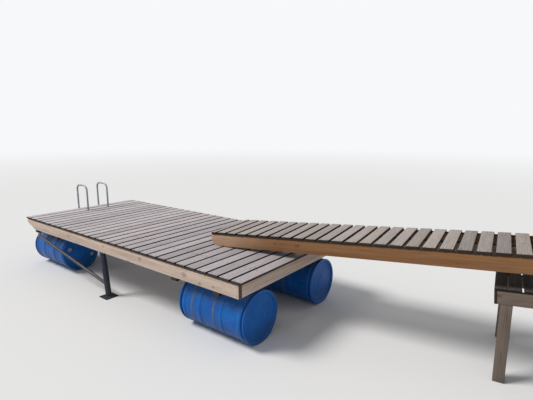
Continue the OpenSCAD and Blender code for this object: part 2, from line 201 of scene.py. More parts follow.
def stored(tree, label, take="Vector"):
    """A value that the mesh carries at each of its points."""
    return add(tree, "ShaderNodeAttribute", take=take, attribute_name=label)


def facing(tree, low, high):
    """Carries the upward part of the surface's direction from low to high onto 0 to 1."""
    return add(tree, "ShaderNodeNewGeometry", take="Normal").parts()[2].ramp(low, high)


def noise(where, scale, detail=2.0, roughness=0.5):
    """Soft random values from 0 to 1. Scale is in blobs per unit of where, as one number or
    as one for each axis, and a larger number squeezes the pattern along that axis."""
    if isinstance(scale, tuple):
        where, scale = where * scale, 1.0
    fields = {"Vector": where, "Scale": scale, "Detail": detail, "Roughness": roughness}
    return add(where.tree, "ShaderNodeTexNoise", fields, noise_dimensions="3D")


def mix(share, first, second, how="MIX"):
    """Mixes two colours by a share from 0, all first, to 1, all second."""
    tree = next(value.tree for value in (share, first, second) if isinstance(value, Flow))
    return add(tree, "ShaderNodeMix", {0: share, 6: first, 7: second}, 2,
               data_type="RGBA", blend_type=how, clamp_factor=True)


def tinted(share, colour, tint):
    """Multiplies a colour by a tint, by the given share; a tint above 1 lightens."""
    return mix(share, colour, tint, "MULTIPLY")


# %% Node groups
def start_group(name, inputs):
    """Makes an empty node group, and returns it with its inputs by name. The value that each
    input starts with gives its kind: a triple is a colour, and None is a vector."""
    tree = bpy.data.node_groups.new(name, "ShaderNodeTree")
    for label, value in inputs.items():
        kind = "Vector" if value is None else "Color" if isinstance(value, tuple) else "Float"
        socket = tree.interface.new_socket(label, in_out="INPUT", socket_type="NodeSocket" + kind)
        if value is not None:
            socket.default_value = (*value, 1.0) if kind == "Color" else value
    entry = tree.nodes.new("NodeGroupInput")
    return tree, {label: Flow(entry.outputs[label]) for label in inputs}


def finish_group(tree, results):
    """Gives the group one output for each result, and joins them."""
    for label, flow in results.items():
        kind = "NodeSocketColor" if flow.socket.type == "RGBA" else "NodeSocketFloat"
        tree.interface.new_socket(label, in_out="OUTPUT", socket_type=kind)
    leave = tree.nodes.new("NodeGroupOutput")
    for label, flow in results.items():
        fill(leave.inputs[label], flow)
    print("node group", tree.name, len(tree.nodes), "nodes")
    return tree


def place_group(tree, group, inputs):
    """Puts a finished node group into a material and returns its outputs by name."""
    node = tree.nodes.new("ShaderNodeGroup")
    node.node_tree = group
    for key, value in inputs.items():
        fill(node.inputs[key], value)
    return {socket.name: Flow(socket) for socket in node.outputs}


# %% Materials, and colours as a screen shows them
def start_material(name):
    """A new material with only a Principled shader in it; returns both and the node tree."""
    material = bpy.data.materials.new(name)
    material.use_nodes = True
    tree = material.node_tree
    tree.nodes.clear()
    shader = tree.nodes.new("ShaderNodeBsdfPrincipled")
    leave = tree.nodes.new("ShaderNodeOutputMaterial")
    fill(leave.inputs["Surface"], Flow(shader.outputs["BSDF"]))
    return material, tree, shader


def give(shader, colour, roughness, height, strength, distance):
    """Joins colour and roughness to a shader, and a height that a Bump node turns into relief."""
    bump = {"Strength": strength, "Distance": distance, "Height": height}
    fill(shader.inputs["Base Color"], colour)
    fill(shader.inputs["Roughness"], roughness)
    fill(shader.inputs["Normal"], add(shader.id_data, "ShaderNodeBump", bump))


def linear(red, green, blue):
    """A colour as a screen shows it, 0 to 255, turned into the light values that shaders use."""
    parts = np.array([red, green, blue]) / 255.0
    light = np.where(parts <= 0.04045, parts / 12.92, ((parts + 0.055) / 1.055) ** 2.4)
    return tuple(light.tolist())


def scaled(colour, share):
    """A light value made brighter or darker, but never above white."""
    return tuple(min(1.0, share * part) for part in colour)


print("middle grey as a light value", linear(128, 128, 128))


# %% [markdown]
# ## Wood from the inside
# A board is sawn out of a trunk, so its pattern is a slice through growth rings. A flat
# pattern could be laid on each face, but it would break off at every edge. Here each
# timber carries three values of its own on its mesh instead: `grain`, its place in an
# imagined trunk in metres, with x along the trunk and the pith at y = z = 0; `place`, the
# distance to its nearest end and how far across and through it a point lies, from -1 to 1;
# and `board`, a random number that tells one timber from the next. End grain, long streaks
# and knots then all come out of one solid pattern, on every face.

# %% Growth rings, fibres and knots as one node group
def make_timber_figure():
    """Rings: distance from the pith, bent by slow noise and pushed aside by each knot.
    A knot's nearness is the distance to its centre divided by its radius."""
    tree, given = start_group("timber_figure", {
        "Grain": None, "Ring Width": 0.004, "Knots Per Metre": 2.2, "Knot Size": 0.012,
        "Known Knot": 10.0})
    grain = given["Grain"]
    # The nearest random knot: cells are long in the trunk's direction, an eighth of a metre wide
    cell = add(tree, "ShaderNodeCombineXYZ", {0: given["Knots Per Metre"], 1: 8.0, 2: 0.0})
    centre, lot = add(tree, "ShaderNodeTexVoronoi",
                      {"Vector": grain * cell, "Scale": 1.0, "Randomness": 0.85},
                      ("Position", "Color"), voronoi_dimensions="3D", feature="F1")
    centre = centre / cell.at_least((0.001, 0.001, 0.001))
    away = (grain - centre) * (0.6, 1.0, 0.0)
    lot = add(tree, "ShaderNodeSeparateColor", {0: lot})
    size = given["Knot Size"] * lot.ramp(0.35, 1.0, 0.3, 1.3, smooth=False)
    # Less than half of the cells have a knot: the others put theirs far away
    near = abs(away) / size + lot.ramp(0.45, 0.44, 0.0, 20.0, smooth=False)
    near = near.at_most(given["Known Knot"])
    # No knot is a true circle
    near = near + (noise(grain, (40.0, 70.0, 0.0)) - 0.5) * 0.9
    # Growth rings round the pith, pushed aside by the knot
    pith = abs(grain * (0.0, 1.0, 1.0))
    swing = (noise(grain, (0.9, 9.0, 9.0)) - 0.5) * 0.030
    fall = (near ** 2.0 * -0.30).step("EXPONENT")
    turn = pith + swing + fall * 0.011
    saw = (turn / given["Ring Width"]).step("FRACT")
    # Fibres are noise squeezed to a hair's width across the trunk
    fibre = noise(grain, (5.0, 420.0, 420.0), 3.0, 0.6)
    fine = noise(grain, (1.6, 95.0, 95.0), 3.0, 0.6)
    # Drying checks: rare dark slits along the grain
    slit = noise(grain, (1.1, 160.0, 60.0), 1.0, 0.4)
    where = noise(grain, (2.3, 14.0, 14.0), 1.0)
    return finish_group(tree, {
        "Rings": saw.ramp(0.15, 0.82) * saw.ramp(1.0, 0.86),
        "Fibre": (fibre + fine) * 0.5,
        "Streak": noise(grain, (0.8, 26.0, 26.0), 2.0, 0.55),
        "Knot": near.ramp(1.25, 0.45),
        "Knot Rim": near.ramp(0.7, 0.95) * near.ramp(1.35, 1.0) * 0.5,
        "Check": slit.ramp(0.70, 0.76) * where.ramp(0.5, 0.62)})


timber_figure = make_timber_figure()


# %% [markdown]
# ## What the weather does to wood
# Sun and rain turn the top faces silver grey first, while the sides keep their colour for
# longer. The faces inside the gaps are painted nearly black: damp dirt, and painted shade.
# Rain drips off the boards' ends and darkens the top of the beam below, and this drip line
# is also painted shade. The beam's lower edge gets a pale blue painted highlight of light
# reflected from below. Sawn ends soak up rain and go dark. Edges get lighter where feet and
# ropes rub them. All this could be painted board by board. Worked out from the way a face
# looks and from its place in its timber, it falls on the right spots of every one.

# %% Weathering as a second node group
def make_weathering():
    """Grey share: the given amount, more on faces that look up, broken up by blotchy noise.
    Gap shade and grime: full where the place across the timber is within 2% of its upper or lower edge; it
    is painted shade over damp dirt."""
    tree, given = start_group("weathering", {
        "Colour": (0.5, 0.4, 0.3), "Grey": (0.5, 0.5, 0.5), "End Colour": (0.1, 0.07, 0.05),
        "Shade And Grime Colour": (0.03, 0.02, 0.02), "Greying": 0.6, "Side Greying": 0.2, "Grain": None,
        "Place": None, "Board": 0.5, "Spread": 0.25, "Dirt": 0.3, "Shade And Grime Above": 0.0,
        "Shade And Grime Below": 0.0, "Drip And Shade": 0.0, "Low Edge Highlight": 0.0})
    board = given["Board"]
    end_gap, across, through = given["Place"].parts()
    blotch = noise(given["Grain"], (3.0, 16.0, 16.0), 4.0, 0.6)
    up = facing(tree, 0.25, 0.8)
    amount = add(tree, "ShaderNodeMix", {0: up, 2: given["Side Greying"], 3: given["Greying"]})
    share = (amount + (blotch - 0.5) * 0.7).clamped()
    colour = mix(share * amount.ramp(0.0, 0.1), given["Colour"], given["Grey"])
    # One timber is lighter or darker, or a little warmer, than the next
    light = (board - 0.5) * given["Spread"] + 1.0
    colour = tinted(1.0, colour, add(tree, "ShaderNodeCombineColor", {0: light, 1: light, 2: light}))
    colour = tinted((board * 7.31).step("FRACT") * 0.3, colour, (1.07, 0.98, 0.88))
    # Dirt gathers in blotches, and faces that look down are darkened
    colour = tinted(blotch.ramp(0.5, 0.75) * given["Dirt"], colour, (0.52, 0.48, 0.42))
    colour = tinted(facing(tree, -0.3, -0.9) * 0.6, colour, (0.55, 0.50, 0.45))
    # A painted highlight on a beam's lower edge: light reflected from below
    low_edge = across.ramp(-0.60, -0.95) * given["Low Edge Highlight"]
    colour = tinted(low_edge, colour, (1.06, 1.16, 1.30))
    # Rubbed edges
    wear = abs(across).ramp(0.92, 0.965) * abs(through).ramp(0.80, 1.0) * blotch.ramp(0.35, 0.6)
    colour = tinted(wear * 0.35, colour, (1.35, 1.32, 1.28))
    # Painted shade over damp dirt on the faces inside the gaps, and a drip line under the boards' ends that
    # is partly painted shade
    upper = across.ramp(0.95, 0.98) * given["Shade And Grime Above"]
    lower = across.ramp(-0.95, -0.98) * given["Shade And Grime Below"]
    runs = noise(given["Grain"], (26.0, 5.0, 0.0), 3.0, 0.6)
    drip = (across + runs * 0.24).ramp(0.84, 1.04) * given["Drip And Shade"]
    shade_and_damp = ((upper + lower).at_least(drip) * blotch.ramp(0.2, 0.5, 0.85, 1.0)).clamped()
    colour = mix(shade_and_damp, colour, given["Shade And Grime Colour"])
    # The wood next to a sawn end is paler, and the end itself is dark
    colour = tinted(end_gap.ramp(0.09, 0.0) * 0.25, colour, (1.18, 1.12, 1.02))
    colour = mix(end_gap.ramp(0.0026, 0.0010) * 0.94, colour, given["End Colour"])
    return finish_group(tree, {"Colour": colour, "Shade And Damp": shade_and_damp})


weathering = make_weathering()


# %% [markdown]
# ## Stains round the screws, and knots in known places
# Rain washes iron into the tannin of the wood, so each screw has a dark halo, longer along
# the grain. There are too many screws to list in a material, and it needs no list: a
# halo's distance from a board's end is that of the beam under it. The near side beam has a
# few large knots, and they are listed, because the photograph shows where each one is.

# %% Masks for screw stains and for the large knots
def screw_stain(place, screws, half_width, off_middle):
    """Distance to the nearest screw, shortened along the grain: full at 3 mm, gone at 14 mm.
    Screws sit at the given distances from an end, and off_middle to either side."""
    end_gap, across, _ = place.parts()
    along = reduce(Flow.at_most, [abs(end_gap - distance) for distance in screws])
    aside = abs(abs(across) * half_width - off_middle)
    away = add(place.tree, "ShaderNodeCombineXYZ", {0: along * 0.55, 1: aside, 2: 0.0})
    return abs(away).ramp(0.014, 0.003) * facing(place.tree, 0.5, 0.9)


def known_knot(tree, knots):
    """Nearness to the closest of some knots, each given as x, z and radius in metres."""
    where = object_point(tree) * (1.0, 0.0, 1.0)
    return reduce(Flow.at_most, [abs((where - (x, 0.0, z)) * (0.7 / radius, 1.0, 1.0 / radius))
                                 for x, z, radius in knots])


# %% One recipe for every kind of timber
# Of these, the gap and drip masks paint shade as well as dirt, the low edge gets a painted highlight, and
# the two ramps along x paint light and shade
TIMBER_FINISH = dict(ring=0.0045, knots=1.4, knot_size=0.010, spread=0.26, dirt=0.26,
                     roughness=0.82, grime_above=0.0, grime_below=0.0, drip=0.0, low_edge=0.0,
                     streaks=0.45, screws=(), wide=0.14, screw_off=0.035, bleach=None,
                     sunny=None, known=())
KNOT_DEPTH = 0.5
SLIT_COLOUR = (0.02, 0.015, 0.012)
STAIN_COLOUR = (0.055, 0.045, 0.045)


def make_timber(name, early, late, grey, knot, end, shade_and_grime, greying, side_greying, **changes):
    """A wood material: two ring colours, knots, then weather; fibres and slits give it relief.
    Its colours are early and late wood, grey wood, a knot, the sawn end, and the near black of gaps and
    drip lines, which is grime and painted shade."""
    look = SimpleNamespace(**{**TIMBER_FINISH, **changes})
    early, late, grey, knot, end, shade_and_grime = (linear(*c) for c in (early, late, grey, knot, end, shade_and_grime))
    material, tree, shader = start_material(name)
    grain, place, board = stored(tree, "grain"), stored(tree, "place"), stored(tree, "board", "Fac")
    along = object_point(tree).parts()[0]
    pattern = {"Grain": grain, "Ring Width": look.ring, "Knots Per Metre": look.knots,
               "Knot Size": look.knot_size}
    if look.known:
        pattern["Known Knot"] = known_knot(tree, look.known)
    figure = place_group(tree, timber_figure, pattern)
    rings, fibre, check = figure["Rings"], figure["Fibre"], figure["Check"]
    tone = (rings * 0.5 + (fibre - 0.35) * 1.3).clamped()
    streaks = figure["Streak"].ramp(0.42, 0.68, 0.0, look.streaks)
    colour = tinted(streaks, mix(tone, early, late), (0.78, 0.72, 0.66))
    # One end is painted paler, as sunlight on it: the low end of the gangway's beams
    if look.bleach:
        from_x, to_x, pale, share = look.bleach
        sunlit_wood = mix(tone, linear(*pale), scaled(linear(*pale), 0.68))
        colour = mix(along.ramp(to_x, from_x, 0.0, share), colour, sunlit_wood)
    silver = mix(tone, grey, scaled(grey, 0.62))
    # Painted light and shade along the model's x: the lake end of the deck is lit up, and the shore end of
    # the gangway's boards lies in painted shade
    if look.sunny:
        from_x, to_x, gain = look.sunny
        silver = tinted(along.ramp(from_x, to_x), silver, (gain, gain, gain))
    weather = place_group(tree, weathering, {
        "Colour": colour, "Grey": silver, "End Colour": end, "Shade And Grime Colour": shade_and_grime,
        "Greying": greying, "Side Greying": side_greying, "Grain": grain, "Place": place,
        "Board": board, "Spread": look.spread, "Dirt": look.dirt, "Shade And Grime Above": look.grime_above,
        "Shade And Grime Below": look.grime_below, "Drip And Shade": look.drip, "Low Edge Highlight": look.low_edge})
    # Knots fade out under the gaps' damp dirt and painted shade
    dry_and_unshaded = weather["Shade And Damp"].ramp(0.0, 1.0, KNOT_DEPTH, 0.0, smooth=False)
    colour = mix(figure["Knot"] * dry_and_unshaded, weather["Colour"], knot)
    colour = mix(figure["Knot Rim"] * dry_and_unshaded, colour, scaled(knot, 0.42))
    colour = mix(check * 0.75, colour, SLIT_COLOUR)
    if look.screws:
        stain = screw_stain(place, look.screws, look.wide / 2, look.screw_off)
        colour = mix(stain * 0.55, colour, STAIN_COLOUR)
    height = fibre * -0.8 + rings * 0.35 - check * 1.6 + figure["Knot"] * 0.5
    rough = fibre.ramp(0.2, 0.8, look.roughness - 0.08, look.roughness + 0.08)
    give(shader, colour, rough, height, 0.55, 0.0012)
    # Old wood hardly shines, and a low value here keeps the gaps between boards dark
    fill(shader.inputs["Specular IOR Level"], 0.2)
    return material


# %% Known knots, widths of boards, and looks that several woods share
# Large knots of the near side beam: place along, height, radius
NEAR_BEAM_KNOTS = ((-0.917, 0.70, 0.017), (0.007, 0.715, 0.015), (0.809, 0.707, 0.020),
                   (1.604, 0.694, 0.026), (2.05, 0.665, 0.013))
# Each kind of board: its width, and how far its screws sit from its middle line
DECK_BOARD_W = 0.138
DECK_SCREW_OFF = 0.036
GANG_BOARD_W = 0.119
GANG_SCREW_OFF = 0.030
LAND_BOARD_W = 0.098
LAND_SCREW_OFF = 0.026
# The same wood in several places
# The near black of damp dirt and painted shade in the gaps and drip lines
BLACK_DAMP_AND_SHADE = (20, 15, 14)
BEAM_WOOD = dict(ring=0.006, knots=0.8, knot_size=0.013)
LANDING_WOOD = dict(ring=0.005, knots=1.8, knot_size=0.012, spread=0.2)
print("large knots of the near side beam", len(NEAR_BEAM_KNOTS))

# %% Seven kinds of timber
deck_wood = make_timber(
    "deck_board_wood", (202, 182, 170), (152, 133, 123), (182, 178, 185), (96, 80, 74), (26, 20, 17),
    BLACK_DAMP_AND_SHADE, 0.80, 0.45, spread=0.34, dirt=0.30, roughness=0.66, grime_above=0.97, grime_below=0.97,
    screws=(0.024, 0.3635, 1.0), wide=DECK_BOARD_W, screw_off=DECK_SCREW_OFF, sunny=(1.6, -2.0, 1.42))
beam_wood = make_timber(
    "pontoon_beam_wood", (220, 198, 180), (168, 142, 124), (194, 186, 180), (122, 100, 84),
    (78, 62, 52), BLACK_DAMP_AND_SHADE, 0.35, 0.34, **BEAM_WOOD, spread=0.12, dirt=0.34, streaks=0.9,
    grime_above=0.9, drip=0.9, low_edge=0.8, known=NEAR_BEAM_KNOTS)
# The joists and bearers get this darker copy of the beam wood: painted shade inside the frame
shaded_wood = make_timber(
    "shaded_frame_wood", (150, 132, 117), (112, 96, 84), (126, 119, 113), (84, 70, 60), (52, 41, 34),
    BLACK_DAMP_AND_SHADE, 0.5, 0.4, **BEAM_WOOD, spread=0.15, dirt=0.5, streaks=0.8, grime_above=0.95, drip=1.0)
gangway_wood = make_timber(
    "gangway_beam_wood", (154, 112, 75), (104, 69, 42), (138, 116, 94), (88, 62, 41), (60, 42, 30),
    (22, 15, 11), 0.3, 0.12, ring=0.006, knots=1.0, knot_size=0.014, spread=0.12, dirt=0.42,
    streaks=0.8, grime_above=0.9, drip=0.9, bleach=(1.3, 2.3, (208, 174, 145), 0.9))
gangway_board_wood = make_timber(
    "gangway_board_wood", (186, 168, 153), (134, 118, 107), (174, 168, 166), (80, 67, 60), (24, 17, 13),
    BLACK_DAMP_AND_SHADE, 0.82, 0.4, ring=0.005, spread=0.30, dirt=0.34, roughness=0.7, grime_above=0.96,
    grime_below=0.96, screws=(0.024, 0.405), wide=GANG_BOARD_W, screw_off=GANG_SCREW_OFF,
    sunny=(3.2, 4.6, 0.74))
landing_wood = make_timber(
    "landing_wood", (124, 109, 98), (84, 73, 64), (126, 115, 106), (48, 39, 33), (40, 33, 28),
    (22, 18, 15), 0.8, 0.6, **LANDING_WOOD, dirt=0.45, grime_above=0.8, grime_below=0.3)
# The landing's boards are nearly black: painted shade of the gangway over them
landing_board_wood = make_timber(
    "landing_board_wood", (80, 72, 66), (50, 44, 40), (74, 70, 67), (30, 25, 22), (26, 22, 19),
    (14, 12, 11), 0.8, 0.5, **LANDING_WOOD, dirt=0.5, grime_above=0.96, grime_below=0.96,
    screws=(0.0225, 0.5), wide=LAND_BOARD_W, screw_off=LAND_SCREW_OFF)
print("nodes in the deck's wood", len(deck_wood.node_tree.nodes))


# %% [markdown]
# ## Closed forms out of rings
# Boards, bars, drums and screw heads are all the same kind of mesh: a row of rings, each
# ring with the same number of points, joined by four-sided faces and closed by one face at
# each end. A ring of a board is its rounded section; a ring of a drum is a circle. Cubes
# and cylinders with a bevel would do for the shapes, but rings that are worked out as
# arrays can also tell each point what its material wants to know. One collector joins
# many such forms into a piece, turning any whose faces look inwards.

# %% Circles, and rings to faces
def around(sides):
    """The angles of evenly spaced points on a circle."""
    return np.arange(sides) * 2 * np.pi / sides


def on_axis(t, radius, turn):
    """Points t along the axis x and round it: the radius times the cosine and the sine."""
    return np.stack(np.broadcast_arrays(t, radius * np.cos(turn), radius * np.sin(turn)), -1)


def unit(vectors):
    """Vectors divided by their own lengths."""
    return vectors / np.linalg.norm(vectors, axis=-1, keepdims=True)


def ring_quads(rings, ring_points, closed):
    """Four-sided faces between neighbouring rings; a closed form joins its last ring to its first."""
    i, j = np.meshgrid(np.arange(rings if closed else rings - 1), np.arange(ring_points), indexing="ij")
    here, next_ring, j2 = i * ring_points, (i + 1) % rings * ring_points, (j + 1) % ring_points
    return np.stack((here + j, here + j2, next_ring + j2, next_ring + j), -1).reshape(-1, 4)


def looks_inwards(points, quads):
    """The volume under the faces, as seen from their middle, is negative when they look inwards."""
    a, b, c, d = (points[quads[:, k]] - points.mean(0) for k in range(4))
    return (np.cross(a, b) * c).sum() + (np.cross(a, c) * d).sum() < 0


# %% A collector of forms
class Forms:
    """Closed forms that become one piece, with the extra values that their material reads."""

    def __init__(self):
        self.points, self.faces, self.values, self.count = [], [], {}, 0

    def add(self, rings, axes=np.eye(3), origins=(0.0, 0.0, 0.0), closed=False, **values):
        """One form, or copies of it: its own coordinates times the three axes that it follows,
        plus its origin. A value is one number, or a vector for each point of the form."""
        axes = np.reshape(axes, (-1, 3, 3)).astype(float)
        origins = np.reshape(origins, (-1, 1, 3))
        points = rings.reshape(-1, 3) @ axes + origins
        quads = ring_quads(*rings.shape[:2], closed)
        ring = np.arange(rings.shape[1])
        ends = [] if closed else [ring[::-1], ring + points.shape[1] - len(ring)]
        if looks_inwards(points[0], quads):
            quads, ends = quads[:, ::-1], [end[::-1] for end in ends]
        for copy in points:
            self.faces += (quads + self.count).tolist() + [(end + self.count).tolist() for end in ends]
            self.points.append(copy)
            self.count += len(copy)
        for label, data in values.items():
            data = np.reshape(data, (-1, 3)) if np.ndim(data) else np.full(points.shape[1], data)
            self.values.setdefault(label, []).extend([data] * len(points))


# %% The piece that a collector becomes
SHARP_FROM = math.radians(38)


def finish_piece(name, forms, material, slot, *nodes):
    """Makes the mesh and its object, stores the extra values, and ties it to the frame."""
    mesh = bpy.data.meshes.new(name)
    mesh.from_pydata(np.concatenate(forms.points).tolist(), [], forms.faces)
    for label, data in forms.values.items():
        data = np.concatenate(data).astype(np.float32)
        kind, field = ("FLOAT_VECTOR", "vector") if data.ndim == 2 else ("FLOAT", "value")
        mesh.attributes.new(label, kind, "POINT").data.foreach_set(field, data.ravel())
    mesh.materials.append(material)
    mesh.update()
    mesh.shade_smooth()
    mesh.set_sharp_from_angle(angle=SHARP_FROM)
    piece = new_object(name, mesh)
    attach(piece, "root")
    if nodes:
        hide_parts(*nodes)
    print(name, len(mesh.vertices), "points", len(mesh.polygons), "faces")


# %% [markdown]
# ## Sawn timber as a swept section
# A sawn board is a rectangle with slightly rounded edges, carried along a nearly straight
# line. Nothing in an old deck is quite straight, so the section wanders by a millimetre
# and its face cups a little. A box with a bevel would be quicker to make, but light falls
# too evenly on its flat faces. All points of one timber are worked out in a single array:
# stations along it times points round its section.

# %% The section of a timber, and the wander of old wood
ARRIS_STEPS = 4
QUARTERS = ((1, 1), (-1, 1), (-1, -1), (1, -1))
arris_turns = np.arange(ARRIS_STEPS) / (ARRIS_STEPS - 1) * (np.pi / 2)
SECTION = np.array([(side_v, side_w, np.cos(turn + quarter * np.pi / 2), np.sin(turn + quarter * np.pi / 2))
                    for quarter, (side_v, side_w) in enumerate(QUARTERS) for turn in arris_turns])

# Three waves of wander: how many in the given length, and the share of each
WANDER_LENGTH = 2.4
WANDER_COUNTS = (0.7, 1.6, 3.1)
WANDER_SHARES = (0.6, 0.3, 0.12)

# One fixed source of chance for all the timber, so that every run makes the same jetty
random = np.random.RandomState(41)


def wander(size):
    """A smooth random sideways shift, as a function of the distance along: three sine waves, added."""
    waves = tuple(zip(WANDER_COUNTS, WANDER_SHARES, random.uniform(0, 2 * np.pi, 3)))

    def shift(u):
        turn = u * 2 * np.pi / WANDER_LENGTH
        return size * sum(share * np.sin(wave * turn + start) for wave, share, start in waves)
    return shift


def edge(value, u):
    """An edge of a timber at each station: the same value all along, or a function of u."""
    return value(u) if callable(value) else np.full(len(u), float(value))


print("points round a timber", len(SECTION))


# %% One sawn timber
Timber = namedtuple("Timber", "points grain place lift")


def sawn_timber(start, end, low, high, thick, arris=0.003, step=0.09,
                crook=0.0, bow=0.0, cup=0.0, pith=(0.0, -0.05), marks=()):
    """One timber in its own axes: u along it, v over its wide face, w through its thickness.
    Each ring is the rounded section moved to its station; the first and last rings are drawn
    in by the arris, which rounds the ends. low and high are the wide face's edges, with a
    station at each of the marks; cup lifts the upper face by v squared."""
    inside = np.linspace(start + arris, end - arris, max(3, int(round((end - start) / step)) + 1))
    marks = np.array([mark for mark in marks if start + arris < mark < end - arris])
    if len(marks):
        clear = np.abs(inside[:, None] - marks[None, :]).min(1) > 0.2 * step
        inside = np.sort(np.concatenate([inside[clear], marks]))
    u = np.concatenate([[start, start + 0.3 * arris], inside, [end - 0.3 * arris, end]])
    drawn = np.zeros(len(u))
    drawn[[0, -1]] = arris
    drawn[[1, -2]] = 0.3 * arris
    v_low, v_high = edge(low, u), edge(high, u)
    middle, half = (v_low + v_high) / 2, (v_high - v_low) / 2
    side_v, side_w, round_v, round_w = SECTION.T
    v = middle[:, None] + side_v * (half - drawn - arris)[:, None] + round_v * arris
    w = side_w * (thick / 2 - drawn - arris)[:, None] + round_w * arris
    across = (v - middle[:, None]) / half[:, None]
    through = w / (thick / 2)
    along = np.broadcast_to(u[:, None], v.shape)
    grain = np.stack([along + random.uniform(0, 60), v - middle.mean() + pith[0], w + pith[1]], -1)
    end_gap = np.broadcast_to(np.minimum(u - start, end - u)[:, None], v.shape)
    sideways, rise = wander(crook), wander(bow)

    def lift(at_u, at_across):
        """How far the upper face stands from its flat place, which it never rises above."""
        return cup * at_across ** 2 + rise(at_u) - max(cup, 0.0) - 2 * bow

    points = np.stack([along, v + sideways(u)[:, None], w + (through > 0) * lift(along, across)], -1)
    return Timber(points, grain, np.stack([end_gap, across, through], -1), lift)


# %% Timbers joined into a piece
def build(name, timbers, material, slot, *nodes):
    """Joins timbers into one piece, each given with its axes, origin and random number."""
    forms = Forms()
    for timber, axes, origin, board in timbers:
        forms.add(timber.points, axes, origin, grain=timber.grain, place=timber.place, board=board)
    finish_piece(name, forms, material, slot, *nodes)


# %% [markdown]
# ## Sizes shared by the pieces
# The same heights and middle lines are wanted all over the jetty. They could be copied
# from the solid model's source, but the frame gives each part's box, so no place is
# measured twice. Only counts and a few rules of the build are named here.

# %% Boxes from the frame, and the few numbers that they don't hold
def corners(node):
    """The lowest and highest corner of a CAD node as two arrays."""
    low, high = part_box(node)
    return np.array(low), np.array(high)


deck_low, deck_high = corners("deck_boards")
beam_low, beam_high = corners("near_side_beam")
_, far_beam_high = corners("far_side_beam")
joist_low, joist_high = corners("pontoon_joists")
DECK_BOARDS = 29
DECK_T = deck_high[2] - deck_low[2]
DECK_PITCH = (deck_high[0] - deck_low[0] - DECK_BOARD_W) / (DECK_BOARDS - 1)
SNIPE_TIP = 0.062
SNIPE_LEN = 0.250
BEAM_T = 0.048
MIDDLE_X, CENTRE_Y, deck_middle_z = (deck_low + deck_high) / 2
side_beam_middles = (beam_low[1] + BEAM_T / 2, far_beam_high[1] - BEAM_T / 2)
joist_middles = (joist_low[1] + BEAM_T / 2, CENTRE_Y, joist_high[1] - BEAM_T / 2)
deck_beam_lines = (side_beam_middles[0], *joist_middles, side_beam_middles[1])
print("deck pitch", DECK_PITCH, "deck top", deck_high[2], "middle", MIDDLE_X, CENTRE_Y)

# Which of the model's axes a timber's own u, v and w follow
ALONG_Y = ((0, 1, 0), (1, 0, 0), (0, 0, 1))
ALONG_X_ON_EDGE = ((1, 0, 0), (0, 0, 1), (0, 1, 0))
ALONG_Y_ON_EDGE = ((0, 1, 0), (0, 0, 1), (1, 0, 0))
UP = (0, 0, 1)

# %% [markdown]
# ## Screws
# A deck screw's countersunk head sits just proud of the board, with a six-lobed recess for
# the driver. There are hundreds, so each has only four bands of twelve faces. A list keeps
# where they go while the boards are made, and one piece holds them all.

# %% A screw head, and the list that the boards fill
def screw_head(radius=0.0046, proud=0.0006):
    """Rings of a flat head: rim, top edge, recess edge and recess floor. Each ring's radius
    swells and shrinks by a share, which makes the recess a six-lobed star."""
    turn = around(12)
    bands = np.array([(1.0, -0.0012, 0.0), (1.0, 0.6 * proud, 0.0), (0.86, proud, 0.0),
                      (0.44, proud, 0.16), (0.40, 0.2 * proud, 0.16)])
    size, height, star = bands.T[:, :, None]
    return np.roll(on_axis(height, radius * size * (1 + star * np.cos(6 * turn)), turn), -1, -1)


screw_places, screw_axes = [], []


def drive_screw(place, out):
    """Notes one screw: the point of the surface it is in, the way it looks, and a random turn."""
    out = np.asarray(out, float)
    side = unit(np.cross(out, (0.0, 1.0, 0.2)))
    turn = random.uniform(0, np.pi)
    first = math.cos(turn) * side + math.sin(turn) * np.cross(out, side)
    screw_places.append(np.asarray(place, float))
    screw_axes.append([first, np.cross(out, first), out])


print("rings and sides of a screw head", screw_head().shape[:2])


# %% [markdown]
# ## The pontoon's deck
# Twenty-nine boards lie across the beams. The wide face looks up, so v is the model's x
# and w its z. One board could be repeated by an Array modifier, but the eye soon finds
# what repeats, so a loop gives each its own place in the trunk, a slightly different width
# and place, and two screws over each of the five beams. Two of the gaps are wider than
# the rest, where the boards were not pushed up tightly.

# %% Deck boards
WIDE_GAPS = np.array([6, 17])
WIDER_BY = 0.006
# How unevenly any board was laid: its place, and how much shorter it may be at each end
LAID_OFF = 0.0015
SHORTER_BY = 0.005
# What sun, rain and drying do to it: its sideways bend and its sag
BEND = 0.001
SAG = 0.0006


def hollow():
    """How far a board's face has cupped, upwards or downwards."""
    return random.uniform(-0.0006, 0.0010)


def board_pith():
    """Where the pith of the trunk lay from the board's middle: to either side, and below."""
    return random.uniform(-0.03, 0.03), -random.uniform(0.02, 0.07)


shifts = random.uniform(-LAID_OFF, LAID_OFF, DECK_BOARDS)
shifts[WIDE_GAPS] -= WIDER_BY / 2
shifts[WIDE_GAPS + 1] += WIDER_BY / 2
deck = []
for middle in deck_low[0] + DECK_BOARD_W / 2 + DECK_PITCH * np.arange(DECK_BOARDS) + shifts:
    wide = DECK_BOARD_W + random.uniform(-0.003, 0.002)
    ends = random.uniform(0.0, SHORTER_BY, 2)
    board = sawn_timber(deck_low[1] + ends[0], deck_high[1] - ends[1], -wide / 2, wide / 2, DECK_T,
                        crook=BEND, bow=SAG, cup=hollow(), pith=board_pith())
    deck.append((board, ALONG_Y, (middle, 0.0, deck_middle_z), random.uniform()))
    for y in deck_beam_lines:
        for side in (-1, 1):
            v = side * DECK_SCREW_OFF + random.uniform(-0.002, 0.002)
            top = deck_high[2] + board.lift(y, 2 * v / wide)
            drive_screw((middle + v, y + random.uniform(-0.005, 0.005), top), UP)
build("deck_planks", deck, deck_wood, "deck_timber", "deck_boards")


